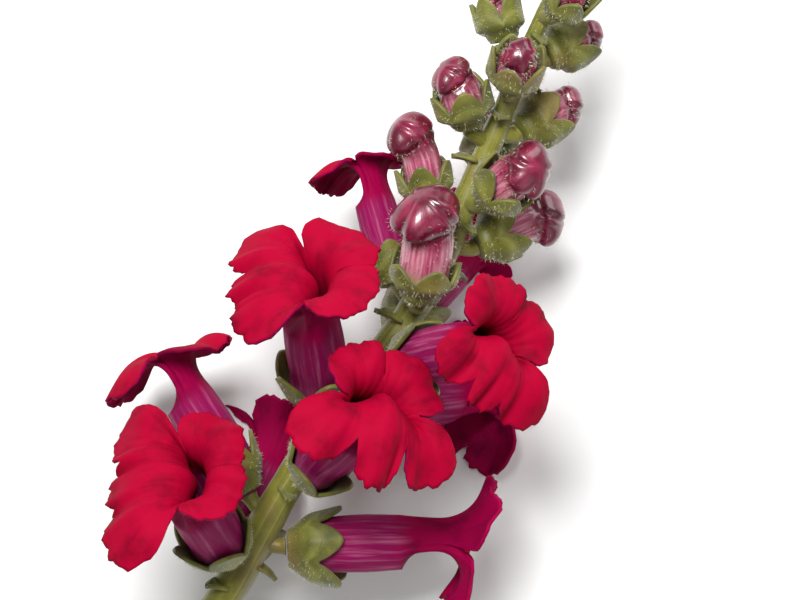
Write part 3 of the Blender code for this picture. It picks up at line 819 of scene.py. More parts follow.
    def _lengths(self, angles: np.ndarray) -> np.ndarray:
        """Length of each column, from the rim to the lobes' scalloped edge.

        Args:
            angles: Degrees round the mouth.

        Returns:
            The lengths.
        """
        form = self.floret.form
        edges = np.array(LOBE_EDGES)
        own = np.clip(np.searchsorted(edges, angles, side="right") - 1, 0, len(LOBE_CENTRES) - 1)
        centre = np.array(LOBE_CENTRES)[own]
        before = angles < centre
        edge = np.where(before, edges[own], edges[own + 1])
        off = np.clip(np.abs(angles - centre) / np.abs(edge - centre), 0, 1)
        cleft = np.array(form.clefts)[np.where(before, own, (own + 1) % len(form.clefts))]
        full = np.array([lobe.length for lobe in form.lobes])[own]
        turn = np.radians(angles)
        nibble = 1.0 + 0.012 * np.sin(turn * 31.0 + form.phase) + 0.01 * np.sin(turn * 53.0)
        return (cleft + (full - cleft) * (1.0 - off**2.6) ** 0.62) * nibble

    def _relief(self, angles: np.ndarray, gone: np.ndarray) -> np.ndarray:
        """Height of ruffles, pleats and edge folds over the lips, less the palate's groove.

        Args:
            angles: Degrees round the mouth.
            gone: Share of the lobe's whole length that each point has run.

        Returns:
            The heights.
        """
        form = self.floret.form
        turn = np.radians(angles)
        wave = form.ruffle * ease((gone - 0.35) / 0.65) * np.sin(turn * RUFFLES + form.phase)
        dip = np.exp(-(((angles - 180.0) / GROOVE_HALF) ** 2))
        groove = PALATE_GROOVE * dip * ease(gone / 0.15) * (1 - ease((gone - 0.45) / 0.25))
        pleats = np.sin(turn * 24.0 + 1.3 * np.sin(turn * 3.0) + 2.0 * gone)
        folds = np.sin(turn * 13.0 + 2.1 * form.phase + 3.0 * gone)
        rim = ease((gone - 0.6) / 0.4)
        fine = self.pleat * ease((gone - 0.1) / 0.3) * pleats
        return wave - groove + fine + self.frill * rim * folds


@dataclass
class CalyxCup:
    """A cup of five sepals that wraps the foot of a flower or a bud.

    The sepals' length falls from each tip to the cleft beside it, and rings at even shares of
    that length stand a little off the tube. Each sepal has a shallow keel along its middle.

    Args:
        name: Name of the piece.
        matrix: The flower's frame.
        size: The flower's scale.
        sepal: Length of the sepals.
        jacket: Gives half width, half height and sac at heights up the tube.
        room: Clear room between the tube and the cup.
        flare: How far the sepals' tips stand off.
        phase: Degrees round to the first tip.
        columns: Columns round it.
        rings: Rings up it.
    """

    name: str
    matrix: np.ndarray
    size: float
    sepal: float
    jacket: Callable
    room: float
    flare: float
    phase: float
    columns: int = 75
    rings: int = 20

    def surface(self) -> Surface:
        """Builds the cup.

        Returns:
            The surface.
        """
        angles = np.arange(self.columns) * 360.0 / self.columns
        turn = np.radians(angles)
        stops = np.linspace(0.0, 1.0, self.rings) ** 1.3
        off_tip = np.abs(((angles - self.phase) / 72.0 + 0.5) % 1.0 - 0.5) * 2.0
        length = self.sepal * (SEPAL_CLEFT + (1 - SEPAL_CLEFT) * (1.0 - off_tip**1.6) ** 0.8)
        length = length * (1.0 + 0.05 * np.sin(turn * 2.0 + self.phase))
        room = (self.room + (PETAL_THICKNESS + CALYX_THICKNESS) / 2) / self.size
        s = stops[:, None]
        y = length * s - room * (1 - ease(s / 0.3))
        width, height, sac = self.jacket(np.clip(y, 0, None))
        keel = 0.28 * np.exp(-((off_tip / 0.22) ** 2)) * ease(s / 0.3) * (1 - 0.5 * s)
        curl = -0.25 * off_tip**2 * ease((s - 0.3) / 0.7)
        off = room + self.flare * s**2 + keel + curl * 0.5
        foot = 0.8 + 0.2 * ease(s / 0.12)
        x = (width + off) * np.sin(turn) * foot
        z = ((height + off) * np.cos(turn) - sac * ease(-np.cos(turn))) * foot
        rings = settle(np.stack([x, y, z], axis=-1), self.matrix, CALYX_THICKNESS / 2)
        pole = np.array([0.0, float(y[0].mean()) - 0.1, 0.0])
        patch = Patch(rings, s, off_tip[None, :], pole=settle(pole, self.matrix, CALYX_THICKNESS / 2))
        return Surface(self.name, [patch])


@dataclass
class ClosedBud:
    """A bud: a tube that swells into the knob of its folded lips, on an axis that nods.

    Each ring is a circle round that axis. The knob has the ridges and creases of the lobes that
    fold over each other: three creases that wind along it and one across its brow.

    Args:
        bud: The bud.
        matrix: Its frame.
        columns: Columns round it.
        rings: Rings along it.
        last: Share of the length at which its tip closes.
    """

    bud: Bud
    matrix: np.ndarray
    columns: int = 84
    rings: int = 64
    last: float = 0.995

    def surface(self, name: str) -> Surface:
        """Builds the bud.

        Args:
            name: Name of the piece.

        Returns:
            The surface.
        """
        angles = np.arange(self.columns) * 360.0 / self.columns
        turn = np.radians(angles)[None, :]
        s = np.linspace(0.0, self.last, self.rings)
        bud = self.bud
        inside = np.clip(1.0 - ((s - KNOB_MIDDLE) / KNOB_HALF) ** 2, 0.0, None)
        ball = bud.knob * np.sqrt(inside) * (s > KNOB_START)
        mix = ease((s - 0.55) / 0.16)
        radius = (tube_radius(bud, s) * (1 - mix) + np.maximum(ball, 0.05) * mix)[:, None]
        bend = np.radians(bud.nod) * ease((s - NOD_START) / 0.6)
        y = bud.length * np.minimum(s, STRAIGHT)
        rest = bud.length * np.maximum(0.0, s - STRAIGHT)
        ahead = y + rest * np.cos(bend * 0.6)
        centre = np.stack([np.zeros_like(s), ahead, -rest * np.sin(bend * 0.6)], axis=-1)
        fold = 1.0 + mix[:, None] * (FOLD_TWO * np.cos(2 * turn) + FOLD_FIVE * np.cos(5 * turn))
        fold = fold + self._creases(angles, s, mix)
        x = radius * fold * np.sin(turn)
        r = radius * fold * np.cos(turn)
        tilt = bend[:, None]
        rings = centre[:, None, :] + np.stack([x, r * np.sin(tilt), r * np.cos(tilt)], axis=-1)
        rings = settle(rings, self.matrix, 0.0)
        tip = settle(centre[-1], self.matrix, 0.0)
        pole = settle(np.array([0.0, -0.05, 0.0]), self.matrix, 0.0)
        return Surface(name, [Patch(rings, s[:, None], angles[None, :], pole=pole, tip=tip)])

    def _creases(self, angles: np.ndarray, s: np.ndarray, mix: np.ndarray) -> np.ndarray:
        """Relief of the folded lips, and faint ribs on the tube.

        Args:
            angles: Degrees round the bud.
            s: Shares of its length.
            mix: Share of the knob at each.

        Returns:
            Relief as a share of the radius, rings by columns.
        """
        share = s[:, None]
        relief = np.zeros((len(s), len(angles)))
        for start, wind, wide, deep in CREASES:
            line = start + wind * (share - 0.7) * 2.0
            off = (angles[None, :] - line + 180.0) % 360.0 - 180.0
            valley = np.exp(-((off / wide) ** 2))
            ridge = np.exp(-(((off - 16.0) / 11.0) ** 2))
            relief = relief - deep * valley + 0.4 * deep * ridge
        brow_line = 0.66 + 0.03 * np.cos(np.radians(angles))
        brow = -0.12 * np.exp(-(((share - brow_line) / 0.02) ** 2))
        ribs = 0.015 * np.cos(np.radians(angles) * 15.0) * (1 - mix[:, None])
        return (relief + brow) * mix[:, None] + ribs * ease(share / 0.15)


class Shoots:
    """The stem and everything that grows from it as one body with it."""

    def __init__(self, route: StemRoute) -> None:
        """Keeps the stem's line."""
        self.route = route

    def tube(
        self, points: np.ndarray, radii: np.ndarray, sides: int, start: float, end: float
    ) -> Patch:
        """A round stalk along a route.

        The sides' direction at each ring is at right angles to its tangent and to one fixed slant.

        Args:
            points: Middle points.
            radii: Radius at each.
            sides: Columns round it.
            start: The along value at its first ring.
            end: The along value at its last.

        Returns:
            The closed patch.
        """
        tangents = np.gradient(points, axis=0)
        tangents /= np.linalg.norm(tangents, axis=1)[:, None]
        side = np.cross(tangents, [0.13, 0.21, 0.97])
        side /= np.linalg.norm(side, axis=1)[:, None]
        other = np.cross(tangents, side)
        turn = np.linspace(0, 2 * np.pi, sides, endpoint=False)[None, :, None]
        ribs = 1.0 + 0.02 * np.cos(turn * 5.0)
        rings = points[:, None] + radii[:, None, None] * ribs * (
            np.cos(turn) * side[:, None] + np.sin(turn) * other[:, None]
        )
        along = np.linspace(start, end, len(points))[:, None]
        return Patch(rings, along, np.degrees(turn[..., 0]), pole=points[0], tip=points[-1])

    def stem(self) -> Surface:
        """The bare stem and the short stalks of the flowers.

        Returns:
            The surface.
        """
        route = self.route
        fine = np.linspace(route.run[0], route.run[-1], 260)
        points = np.stack([np.interp(fine, route.run, route.points[:, i]) for i in range(3)], axis=-1)
        swell = sum(0.16 * np.exp(-(((fine - f.station) / 2.2) ** 2)) for f in (*FLORETS, *BUDS))
        radii = np.interp(fine, route.run, route.radii) * (1.0 + 0.35 * swell)
        patches = [self.tube(points, radii, 48, 0.0, 1.0)]
        patches += [self._stalk(flower) for flower in (*FLORETS, *BUDS)]
        return Surface("stem_skin", patches)

    def _stalk(self, flower: Floret) -> Patch:
        """The stalk from the stem's middle to a flower's calyx.

        Args:
            flower: The flower or bud.

        Returns:
            The closed patch.
        """
        point, tangent, _ = self.route.at(flower.station)
        matrix = self.route.seat(flower)
        axis = matrix[:3, 1] / flower.size
        end = matrix[:3, 3] - axis * (CALYX_FOOT * flower.size + 0.05)
        start = point - tangent * 1.5
        before = end - axis * 1.2
        middle = (start + before) / 2 + tangent * 0.3
        route = np.array([start, middle, before, end])
        fine = np.linspace(0, 3, 16)
        width = PEDICEL_RADIUS * (0.55 + 0.45 * flower.size)
        radii = width * through(np.arange(4.0), np.array([0.9, 1.0, 1.0, 1.25]), fine)
        return self.tube(through(np.arange(4.0), route, fine), radii, 20, 0.6, 0.75)

    def bracts(self) -> Surface:
        """The small leaves under the flowers' stalks.

        Each is a grid across and along a pointed leaf that curls back, with its sides lifted
        and a shallow keel, set at the stem under its flower.

        Returns:
            The surface, an open sheet to be thickened.
        """
        patches = []
        for flower in (*FLORETS, *BUDS):
            point, tangent, radius = self.route.at(flower.station - BRACT_BELOW)
            matrix = self.route.seat(flower)
            axis = matrix[:3, 1] / flower.size
            out = axis - tangent * (axis @ tangent)
            out /= np.linalg.norm(out)
            along = BRACT_TILT * tangent + 0.99 * out
            along /= np.linalg.norm(along)
            up = np.cross(along, np.cross(out, along))
            up /= np.linalg.norm(up)
            up = up if up @ tangent > 0 else -up
            length, width = 0.5 * flower.girth + 2.4, 0.8 * flower.girth
            s = np.linspace(0.0, 1.0, 18)[:, None]
            c = np.linspace(-1.0, 1.0, 11)[None, :]
            half = width / 2 * (0.5 + 0.5 * ease(s / 0.3)) * (1.0 - 0.93 * s**2.2)
            x = half * c
            y = length * s + 0 * c
            z = -BRACT_CURL * length * s**2 + BRACT_CUP * c**2 - 0.12 * np.exp(-((c / 0.18) ** 2))
            base = point + out * (radius * BRACT_SINK) - tangent * BRACT_DROP
            across = np.cross(along, up)
            grid = base + x[..., None] * across + y[..., None] * along + z[..., None] * up
            patches.append(Patch(grid, s, np.abs(c), closed=False))
        return Surface("bract_leaves", patches)

    def tip_buds(self) -> Surface:
        """The tiny green buds that crowd the end of the spike.

        Returns:
            The surface.
        """
        patches = []
        for index in range(TIP_BUDS):
            bud = tip_bud_place(index)
            made = ClosedBud(bud, self.route.seat(bud), columns=36, rings=30).surface("tip")
            patches += made.patches
        return Surface("tip_buds_skin", patches)


class Hairs:
    """Fine pale hairs as slim three-sided spikes, set at random points of green surfaces."""

    def __init__(self, seed: int = 11) -> None:
        """Starts the one random row that every hair is drawn from."""
        self.random = np.random.default_rng(seed)
        self.roots: list[np.ndarray] = []
        self.leans: list[np.ndarray] = []

    def cover(self, patch: Patch, count: int, low: float = 0.0, high: float = 1.0) -> None:
        """Plants hairs on a patch.

        Args:
            patch: The patch, closed round.
            count: Number of hairs.
            low: Least along value, as a share of the patch's rings.
            high: Greatest along value.
        """
        points = patch.points
        rows, columns = points.shape[:2]
        r = self.random.uniform(low * (rows - 2), high * (rows - 2), count).astype(int)
        c = self.random.integers(0, columns - 1, count)
        a, b, d = points[r, c], points[r, c + 1], points[r + 1, c]
        u, v = self.random.random((2, count, 1)) * 0.9
        root = a + (b - a) * u + (d - a) * v
        normal = np.cross(b - a, d - a)
        size = np.linalg.norm(normal, axis=1)
        keep = size > 1e-9
        self.roots.append(root[keep])
        self.leans.append(normal[keep] / size[keep, None])

    def surface(self, outward: float, length: float, width: float) -> Surface:
        """Makes all the spikes.

        Args:
            outward: Distance from the sheet's middle to its outer face.
            length: Mean length of a hair.
            width: Width at its root.

        Returns:
            The surface: each hair is a two-ring patch that narrows to a point.
        """
        roots, leans = np.concatenate(self.roots), np.concatenate(self.leans)
        count = len(roots)
        wild = self.random.normal(0.0, HAIR_WILD, (count, 3))
        way = leans + wild
        way /= np.linalg.norm(way, axis=1)[:, None]
        size = length * self.random.uniform(0.5, 1.3, (count, 1))
        foot = roots + leans * (outward - 0.05)
        foot[:, 2] = np.maximum(foot[:, 2], 0.2)
        side = np.cross(way, [0.3, 0.5, 0.81])
        side /= np.linalg.norm(side, axis=1)[:, None]
        other = np.cross(way, side)
        turn = np.radians([0.0, 120.0, 240.0])[None, :, None]
        ring = width / 2 * (np.cos(turn) * side[:, None] + np.sin(turn) * other[:, None])
        ends = foot + way * size
        ends[:, 2] = np.maximum(ends[:, 2], 0.05)
        spikes = np.concatenate([foot[:, None] + ring, ends[:, None]], axis=1)
        return HairSurface("fine_hairs", spikes)


class HairSurface(Surface):
    """A mesh of separate spikes, each of three root corners and a tip."""

    def __init__(self, name: str, spikes: np.ndarray) -> None:
        """Keeps the spikes' corners."""
        super().__init__(name)
        self.spikes = spikes

    def to_object(self, origin: np.ndarray) -> bpy.types.Object:
        """Makes the object, with its place in its mesh.

        Args:
            origin: The layout point, in millimetres, that is the model's origin.

        Returns:
            The linked object.
        """
        count = len(self.spikes)
        first = np.arange(count)[:, None, None] * 4
        corners = np.array([[0, 1, 3], [1, 2, 3], [2, 0, 3], [2, 1, 0]])[None]
        mesh = bpy.data.meshes.new(self.name)
        points = (self.spikes.reshape(-1, 3) - origin) * MM
        mesh.from_pydata(points.tolist(), [], (first + corners).reshape(-1, 3).tolist())
        made = bpy.data.objects.new(self.name, mesh)
        bpy.context.scene.collection.objects.link(made)
        return made


class Wire:
    """A node's output that takes part in arithmetic."""

    def __init__(self, paint: Paint, socket: bpy.types.NodeSocket) -> None:
        """Keeps the material's builder and the socket."""
        self.paint = paint
        self.socket = socket

    def _math(self, operation: str, first: Value, second: Value | None = None) -> Wire:
        """Adds a Math node.

        Args:
            operation: What it does.
            first: Its first input.
            second: Its second input, where it has one.

        Returns:
            The result.
        """
        inputs = {0: first} if second is None else {0: first, 1: second}
        return self.paint.node("ShaderNodeMath", inputs, operation=operation)

    def __add__(self, other: Value) -> Wire:
        """The sum."""
        return self._math("ADD", self, other)

    __radd__ = __add__

    def __sub__(self, other: Value) -> Wire:
        """The difference."""
        return self._math("SUBTRACT", self, other)

    def __rsub__(self, other: Value) -> Wire:
        """The difference, with this value taken away."""
        return self._math("SUBTRACT", other, self)

    def __mul__(self, other: Value) -> Wire:
        """The product."""
        return self._math("MULTIPLY", self, other)

    __rmul__ = __mul__

    def sine(self) -> Wire:
        """The sine of this value, in radians."""
        return self._math("SINE", self)


# What takes part in the arithmetic
Value = Wire | float


class Paint:
    """A procedural material, built node by node."""

    def __init__(self, name: str) -> None:
        """Starts a material with its plain shader."""
        self.material = bpy.data.materials.new(name)
        self.material.use_nodes = True
        self.tree = self.material.node_tree
        self.shader = self.tree.nodes["Principled BSDF"]

    def feed(self, socket: bpy.types.NodeSocket, value: Value | tuple) -> None:
        """Links a wire to a socket, or sets its value.

        Args:
            socket: The input.
            value: A wire, a number or a colour.
        """
        if isinstance(value, Wire):
            self.tree.links.new(value.socket, socket)
        elif isinstance(value, tuple) and len(value) == 3 and socket.type == "RGBA":
            socket.default_value = (*value, 1.0)
        else:
            socket.default_value = value

    def node(self, kind: str, inputs: dict, output: int | str = 0, **settings: object) -> Wire:
        """Adds any node.

        Args:
            kind: Its type.
            inputs: Values or wires by input name or number.
            output: Name or number of the output wanted.
            **settings: Properties of the node.

        Returns:
            The output.
        """
        made = self.tree.nodes.new(kind)
        for key, value in settings.items():
            setattr(made, key, value)
        for key, value in inputs.items():
            self.feed(made.inputs[key], value)
        return Wire(self, made.outputs[output])

    def number(self, name: str) -> Wire:
        """One of the mesh's named numbers."""
        return self.node("ShaderNodeAttribute", {}, "Fac", attribute_name=name)

    def place(self) -> Wire:
        """Object coordinates."""
        return self.node("ShaderNodeTexCoord", {}, "Object")

    def noise(self, vector: Wire, scale: float, detail: float = 3.0, rough: float = 0.55) -> Wire:
        """Noise between 0 and 1.

        Args:
            vector: Where to read it.
            scale: Its fineness.
            detail: Octaves.
            rough: Share of the finer octaves.

        Returns:
            The noise.
        """
        inputs = {"Vector": vector, "Scale": scale, "Detail": detail, "Roughness": rough}
        return self.node("ShaderNodeTexNoise", inputs, "Fac")

    def streaks(self, across: float, lengthwise: float, seed: float = 0.0) -> Wire:
        """Noise drawn out along the organ, from its own two numbers.

        Args:
            across: Streaks in a turn, roughly.
            lengthwise: Changes along it.
            seed: A shift, so that two sets differ.

        Returns:
            The noise.
        """
        turn = self.number("round") * (2 * np.pi / 360.0)
        ring = across / 6.0
        x = turn.sine() * ring + seed
        y = (turn + np.pi / 2).sine() * ring
        z = self.number("along") * lengthwise
        vector = self.node("ShaderNodeCombineXYZ", {0: x, 1: y, 2: z})
        return self.noise(vector, 1.0, 4.0, 0.6)

    def step(self, value: Wire, low: float, high: float) -> Wire:
        """A smooth step from 0 at low to 1 at high."""
        inputs = {"Value": value, "From Min": low, "From Max": high}
        return self.node("ShaderNodeMapRange", inputs, 0, interpolation_type="SMOOTHSTEP")

    def mix(self, share: Value, first: Wire | tuple, second: Wire | tuple) -> Wire:
        """A colour between two colours, which are the node's inputs 6 and 7."""
        inputs = {0: share, 6: first, 7: second}
        return self.node("ShaderNodeMix", inputs, 2, data_type="RGBA")

    def bump(self, height: Wire, strength: float, distance: float) -> None:
        """Feeds the shader's normal from a height.

        Args:
            height: The height, 0 to 1.
            strength: Share of the effect.
            distance: Height of the relief in millimetres.
        """
        inputs = {"Height": height, "Strength": strength, "Distance": distance * MM}
        self.feed(self.shader.inputs["Normal"], self.node("ShaderNodeBump", inputs, "Normal"))

    def set(self, **values: Value | tuple) -> None:
        """Sets the shader's sockets, with spaces in their names as underscores."""
        for key, value in values.items():
            self.feed(self.shader.inputs[key.replace("_", " ")], value)


@dataclass(frozen=True)
class PetalFinish:
    """Velvety crimson lips on a magenta tube.

    Args:
        name: Name of the material.
        bright: Lit lip.
        deep: Painted shade of the lip's folds, laid in noisy patches.
        tube: The tube.
        pale: Pale pink, laid as painted sheen in streaks along the tube and as the tube's own paler
            foot.
    """

    name: str
    bright: tuple = (0.33, 0.0, 0.022)
    deep: tuple = (0.17, 0.0, 0.012)
    tube: tuple = (0.24, 0.006, 0.075)
    pale: tuple = (0.46, 0.12, 0.24)

    def make(self) -> bpy.types.Material:
        """Builds the material.

        Returns:
            The material.
        """
        paint = Paint(self.name)
        along = paint.number("along")
        place = paint.place()
        cloud = paint.noise(place, 160.0, 4.0)
        vein = paint.streaks(90.0, 2.2)
        # Painted shade: the lip falls from its crimson to a darker red in noisy patches, standing in
        # for the shade of its folds
        lip = paint.mix(paint.step(cloud * 0.82 + vein * 0.18, 0.28, 0.56), self.deep, self.bright)
        streak = paint.streaks(30.0, 1.2, 7.0)
        # Painted sheen: pale pink streaks along the tube stand in for its lit, hairy sheen
        tube = paint.mix(paint.step(streak, 0.46, 0.8) * 0.8, self.tube, self.pale)
        # The tube's own paler pink towards its foot
        tube = paint.mix(paint.step(along, 0.42, 0.1) * 0.55, tube, self.pale)
        out = paint.step(along + cloud * 0.3, 1.0, 1.32)
        colour = paint.mix(out, tube, lip)
        rough = paint.step(along, 0.8, 1.2) * 0.22 + 0.48
        paint.set(Base_Color=colour, Roughness=rough, Specular_IOR_Level=0.05)
        grain = paint.noise(place, 2600.0, 2.0)
        paint.bump(vein * 0.3 + grain * 0.7, 0.25, 0.08)
        return paint.material


@dataclass(frozen=True)
class BudFinish:
    """Glossy plum lips, folded, on a pink tube that is green at its foot.

    Args:
        name: Name of the material.
        plum: The folded lips.
        dark: Painted shade of their creases, laid in noisy patches over the lips.
        pink: The tube.
        light: Streaks of the tube.
        green: Its foot.
        ripe: Share of the length at which pink gives way to plum.
    """

    name: str
    plum: tuple = (0.20, 0.003, 0.034)
    dark: tuple = (0.085, 0.0, 0.014)
    pink: tuple = (0.34, 0.03, 0.10)
    light: tuple = (0.62, 0.26, 0.32)
    green: tuple = (0.24, 0.25, 0.06)
    ripe: float = 0.52

    def make(self) -> bpy.types.Material:
        """Builds the material.

        Returns:
            The material.
        """
        paint = Paint(self.name)
        along = paint.number("along")
        place = paint.place()
        cloud = paint.noise(place, 260.0, 4.0)
        streak = paint.streaks(36.0, 2.0)
        tube = paint.mix(paint.step(streak, 0.36, 0.68), self.pink, self.light)
        # Painted shade: the lips fall to a darker plum in noisy patches, standing in for the shade of
        # their creases
        lips = paint.mix(paint.step(cloud, 0.35, 0.7), self.dark, self.plum)
        lips = paint.mix(paint.step(streak * cloud, 0.22, 0.5) * 0.5, lips, self.pink)
        colour = paint.mix(paint.step(along + cloud * 0.16, self.ripe, self.ripe + 0.2), tube, lips)
        colour = paint.mix(paint.step(along + streak * 0.1, 0.36, 0.16), colour, self.green)
        paint.set(Base_Color=colour, Roughness=paint.step(cloud, 0.2, 0.8) * 0.16 + 0.26)
        paint.set(Coat_Weight=0.6, Coat_Roughness=0.14, Specular_IOR_Level=0.5)
        wrinkle = paint.noise(place, 900.0, 3.0)
        paint.bump(wrinkle * 0.4 + streak * 0.6, 0.45, 0.16)
        return paint.material


@dataclass(frozen=True)
class LeafFinish:
    """Soft green of sepals, bracts and the stem.

    Args:
        name: Name of the material.
        green: Main colour.
        shade: Darker patches.
        light: Lighter streaks.
        blush: A warm tinge.
        streak: Streaks round a turn.
        rough: Roughness.
    """

    name: str
    green: tuple = (0.165, 0.165, 0.022)
    shade: tuple = (0.075, 0.080, 0.010)
    light: tuple = (0.34, 0.34, 0.08)
    blush: tuple = (0.24, 0.12, 0.05)
    streak: float = 40.0
    rough: float = 0.5

    def make(self) -> bpy.types.Material:
        """Builds the material.

        Returns:
            The material.
        """
        paint = Paint(self.name)
        place = paint.place()
        cloud = paint.noise(place, 210.0, 4.0)
        streak = paint.streaks(self.streak, 3.0)
        colour = paint.mix(paint.step(cloud, 0.3, 0.7), self.shade, self.green)
        colour = paint.mix(paint.step(streak, 0.48, 0.78) * 0.6, colour, self.light)
        warm = paint.step(paint.noise(place, 60.0, 2.0), 0.52, 0.72)
        colour = paint.mix(warm * 0.35, colour, self.blush)
        fine = paint.noise(place, 1500.0, 2.0)
        paint.set(Base_Color=colour, Roughness=cloud * 0.2 + (self.rough - 0.1))
        paint.set(Sheen_Weight=0.15, Specular_IOR_Level=0.4)
        paint.bump(streak * 0.6 + fine * 0.4, 0.5, 0.12)
        return paint.material


@dataclass(frozen=True)
class HairFinish:
    """Pale hairs with a glassy shine.

    Args:
        name: Name of the material.
        pale: Lighter hairs.
        warm: Darker hairs.
    """

    name: str
    pale: tuple = (0.62, 0.64, 0.42)
    warm: tuple = (0.40, 0.40, 0.22)

    def make(self) -> bpy.types.Material:
        """Builds the material.

        Returns:
            The material.
        """
        paint = Paint(self.name)
        cloud = paint.noise(paint.place(), 500.0, 2.0)
        paint.set(Base_Color=paint.mix(paint.step(cloud, 0.4, 0.6), self.warm, self.pale))
        paint.set(Roughness=0.35, Specular_IOR_Level=0.5)
        return paint.material


@dataclass(frozen=True)
class FloorFinish:
    """Plain pale surface.

    Args:
        name: Name of the material.
        tone: Its colour.
    """

    name: str
    tone: tuple = (0.86, 0.86, 0.86)

    def make(self) -> bpy.types.Material:
        """Builds the material.

        Returns:
            The material.
        """
        paint = Paint(self.name)
        grain = paint.noise(paint.place(), 40.0, 2.0)
        dim = tuple(0.97 * c for c in self.tone)
        paint.set(Base_Color=paint.mix(grain, dim, self.tone), Roughness=0.9)
        return paint.material


@dataclass(frozen=True)
class Studio:
    """Camera, light and floor.

    Args:
        scale: Millimetres of the layout to a pixel of the photograph.
        zero: The photograph's pixel where the layout's zero lies.
        turn: The layout's X and Y in the photograph, as cosine and sine of its turn.
        distance: Metres from the camera to the middle of the spike.
        middle: Height of that middle.
        sensor: Width of the sensor in millimetres.
        frame_width: Width of the photograph in pixels.
        frame_height: Its height.
        lamps: Name, place in metres, side in metres and watts of each light.
        sky: Strength of the even sky.
        floor_half: Half the side of the floor in metres.
    """

    scale: float = 0.19
    zero: tuple = (222.0, 600.0)
    turn: tuple = (0.879, 0.477)
    distance: float = 0.6
    middle: float = 0.030
    sensor: float = 36.0
    frame_width: float = 800.0
    frame_height: float = 600.0
    lamps: tuple = (
        ("key", (-0.30, 0.30, 0.9), 0.35, 13.0),
        ("fill", (0.7, -0.3, 0.7), 0.9, 1.5),
        ("rim", (0.1, 0.9, 0.35), 0.5, 3.0),
    )
    sky: float = 0.3
    floor_half: float = 3.0

    def camera(self, origin: np.ndarray) -> None:
        """Points a camera straight down, as the photograph was taken.

        Args:
            origin: The layout point that is the model's origin.
        """
        c, s = self.turn
        right, up, back = Vector((c, s, 0.0)), Vector((-s, c, 0.0)), Vector((0.0, 0.0, 1.0))
        across = (self.frame_width / 2 - self.zero[0]) * self.scale
        above = (self.zero[1] - self.frame_height / 2) * self.scale
        centre = (right * across + up * above - Vector(origin)) * MM
        data = bpy.data.cameras.new("photo_camera")
        data.sensor_width = self.sensor
        data.lens = self.sensor * self.distance / (self.frame_width * self.scale * MM)
        made = bpy.data.objects.new("photo_camera", data)
        place = Matrix((right, up, back)).transposed().to_4x4()
        centre.z = self.middle + self.distance
        place.translation = centre
        made.matrix_world = place
        bpy.context.scene.collection.objects.link(made)
        bpy.context.scene.camera = made

    def lamp(self, name: str, place: tuple, size: float, power: float) -> None:
        """Adds a soft square light that points at the spike.

        Args:
            name: Its name.
            place: Where it hangs, in metres.
            size: Its side in metres.
            power: Watts.
        """
        data = bpy.data.lights.new(name, "AREA")
        data.size = size
        data.energy = power
        made = bpy.data.objects.new(name, data)
        made.location = place
        made.rotation_euler = (-Vector(place)).to_track_quat("-Z", "Y").to_euler()
        bpy.context.scene.collection.objects.link(made)

    def light(self) -> None:
        """Adds the lights and a pale, even sky."""
        for lamp in self.lamps:
            self.lamp(*lamp)
        world = bpy.data.worlds.new("studio_sky")
        world.use_nodes = True
        shader = world.node_tree.nodes["Background"]
        shader.inputs["Color"].default_value = (1.0, 1.0, 1.0, 1.0)
        shader.inputs["Strength"].default_value = self.sky
        bpy.context.scene.world = world
        bpy.context.scene.view_settings.view_transform = "Standard"

    def floor(self) -> None:
        """Adds the surface that the stem lies on."""
        half = self.floor_half
        corners = [(-half, -half, 0.0), (half, -half, 0.0), (half, half, 0.0), (-half, half, 0.0)]
        mesh = bpy.data.meshes.new("floor")
        mesh.from_pydata(corners, [], [(0, 1, 2, 3)])
        mesh.materials.append(FloorFinish("floor_pale").make())
        made = bpy.data.objects.new("floor", mesh)
        bpy.context.scene.collection.objects.link(made)


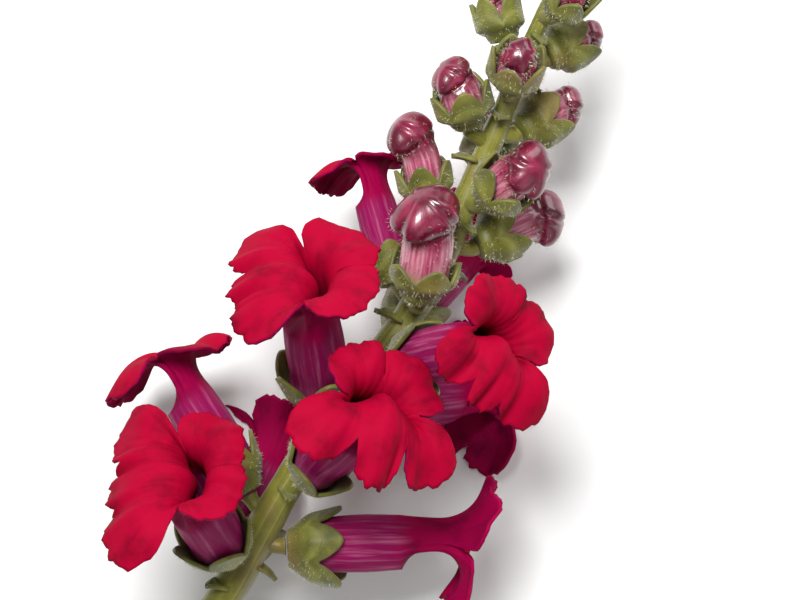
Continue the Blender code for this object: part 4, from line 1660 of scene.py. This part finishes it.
class Spike:
    """The whole dressed spike."""

    def __init__(self) -> None:
        """Works out the stem's line and mixes the finishes."""
        self.route = StemRoute()
        self.origin = np.array(ORIGIN)
        self.petal_face = PetalFinish("petal_face").make()
        # The petals' back: a darker, bluer crimson, with its own darker painted shade
        self.petal_back = PetalFinish(
            "petal_back",
            bright=(0.27, 0.0, 0.045),
            deep=(0.12, 0.0, 0.024),
        ).make()
        self.bud_paint = BudFinish("bud_glossy").make()
        self.calyx_paint = LeafFinish("calyx_soft", streak=18.0).make()
        self.stem_paint = LeafFinish(
            "stem_waxy",
            green=(0.21, 0.20, 0.022),
            shade=(0.12, 0.12, 0.014),
            light=(0.40, 0.39, 0.10),
            rough=0.42,
        ).make()
        self.hairs = Hairs()

    def finish(
        self, made: bpy.types.Object, materials: list, thickness: float = 0.0
    ) -> None:
        """Gives a piece its materials and thickness and lets it ride.

        Args:
            made: The object.
            materials: Its materials, the outside first.
            thickness: Millimetres, or 0 for a closed form.
        """
        for paint in materials:
            made.data.materials.append(paint)
        if thickness:
            solid = made.modifiers.new("Thickness", "SOLIDIFY")
            solid.thickness = thickness * MM
            solid.offset = 0.0
            solid.use_even_offset = False
            solid.material_offset = len(materials) - 1
        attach(made, "root")
        LOG.info("%s: %d faces", made.name, len(made.data.polygons))

    def flowers(self) -> None:
        """Builds the open flowers and their calyces."""
        for floret in FLORETS:
            matrix = self.route.seat(floret)
            petals = Corolla(floret, matrix).surface().to_object(self.origin)
            self.finish(petals, [self.petal_back, self.petal_face], PETAL_THICKNESS)
            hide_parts(f"corolla_{floret.name}")
            cup = CalyxCup(
                f"sepals_{floret.name}", matrix, floret.size, FLORET_SEPAL, tube_jacket,
                FLORET_ROOM, FLORET_FLARE, 0.0,
            ).surface()
            self.hairs.cover(cup.patches[0], HAIRS_ON_CUP)
            sepals = cup.to_object(self.origin)
            self.finish(sepals, [self.calyx_paint], CALYX_THICKNESS)
            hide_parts(f"calyx_{floret.name}")

    def buds(self) -> None:
        """Builds the closed buds and their calyces."""
        for bud in BUDS:
            matrix = self.route.seat(bud)
            shape = ClosedBud(bud, matrix).surface(f"bud_skin_{bud.name}")
            self.hairs.cover(shape.patches[0], HAIRS_ON_BUD, 0.1, 0.95)
            made = shape.to_object(self.origin)
            self.finish(made, [self.bud_paint])
            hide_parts(f"bud_{bud.name}")
            cup = CalyxCup(
                f"sepals_bud_{bud.name}", matrix, 1.0, bud.sepal, bud_section(bud),
                BUD_ROOM, BUD_FLARE, BUD_PHASE,
            ).surface()
            self.hairs.cover(cup.patches[0], HAIRS_ON_BUD_CUP)
            sepals = cup.to_object(self.origin)
            self.finish(sepals, [self.calyx_paint], CALYX_THICKNESS)
            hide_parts(f"calyx_bud_{bud.name}")

    def stem(self) -> None:
        """Builds the stem, its stalks, bracts and end buds."""
        shoots = Shoots(self.route)
        skin = shoots.stem()
        self.hairs.cover(skin.patches[0], HAIRS_ON_STEM, 0.5, 0.97)
        made = skin.to_object(self.origin)
        self.finish(made, [self.stem_paint])
        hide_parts("stem")
        leaves = shoots.bracts().to_object(self.origin)
        self.finish(leaves, [self.calyx_paint], BRACT_THICKNESS)
        tips = shoots.tip_buds()
        for patch in tips.patches:
            self.hairs.cover(patch, HAIRS_ON_TIP)
        self.finish(tips.to_object(self.origin), [self.calyx_paint])

    def fur(self) -> None:
        """Builds the fine hairs planted by the other steps."""
        hairs = self.hairs.surface(CALYX_THICKNESS / 2, HAIR_LENGTH, HAIR_WIDTH)
        made = hairs.to_object(self.origin)
        self.finish(made, [HairFinish("hair_pale").make()])


def main() -> None:
    """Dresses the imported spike."""
    logging.basicConfig(level=logging.INFO, format="%(message)s")
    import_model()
    studio = Studio()
    studio.camera(np.array(ORIGIN))
    studio.light()
    studio.floor()
    spike = Spike()
    spike.flowers()
    spike.buds()
    spike.stem()
    spike.fur()


if __name__ == "__main__":
    main()
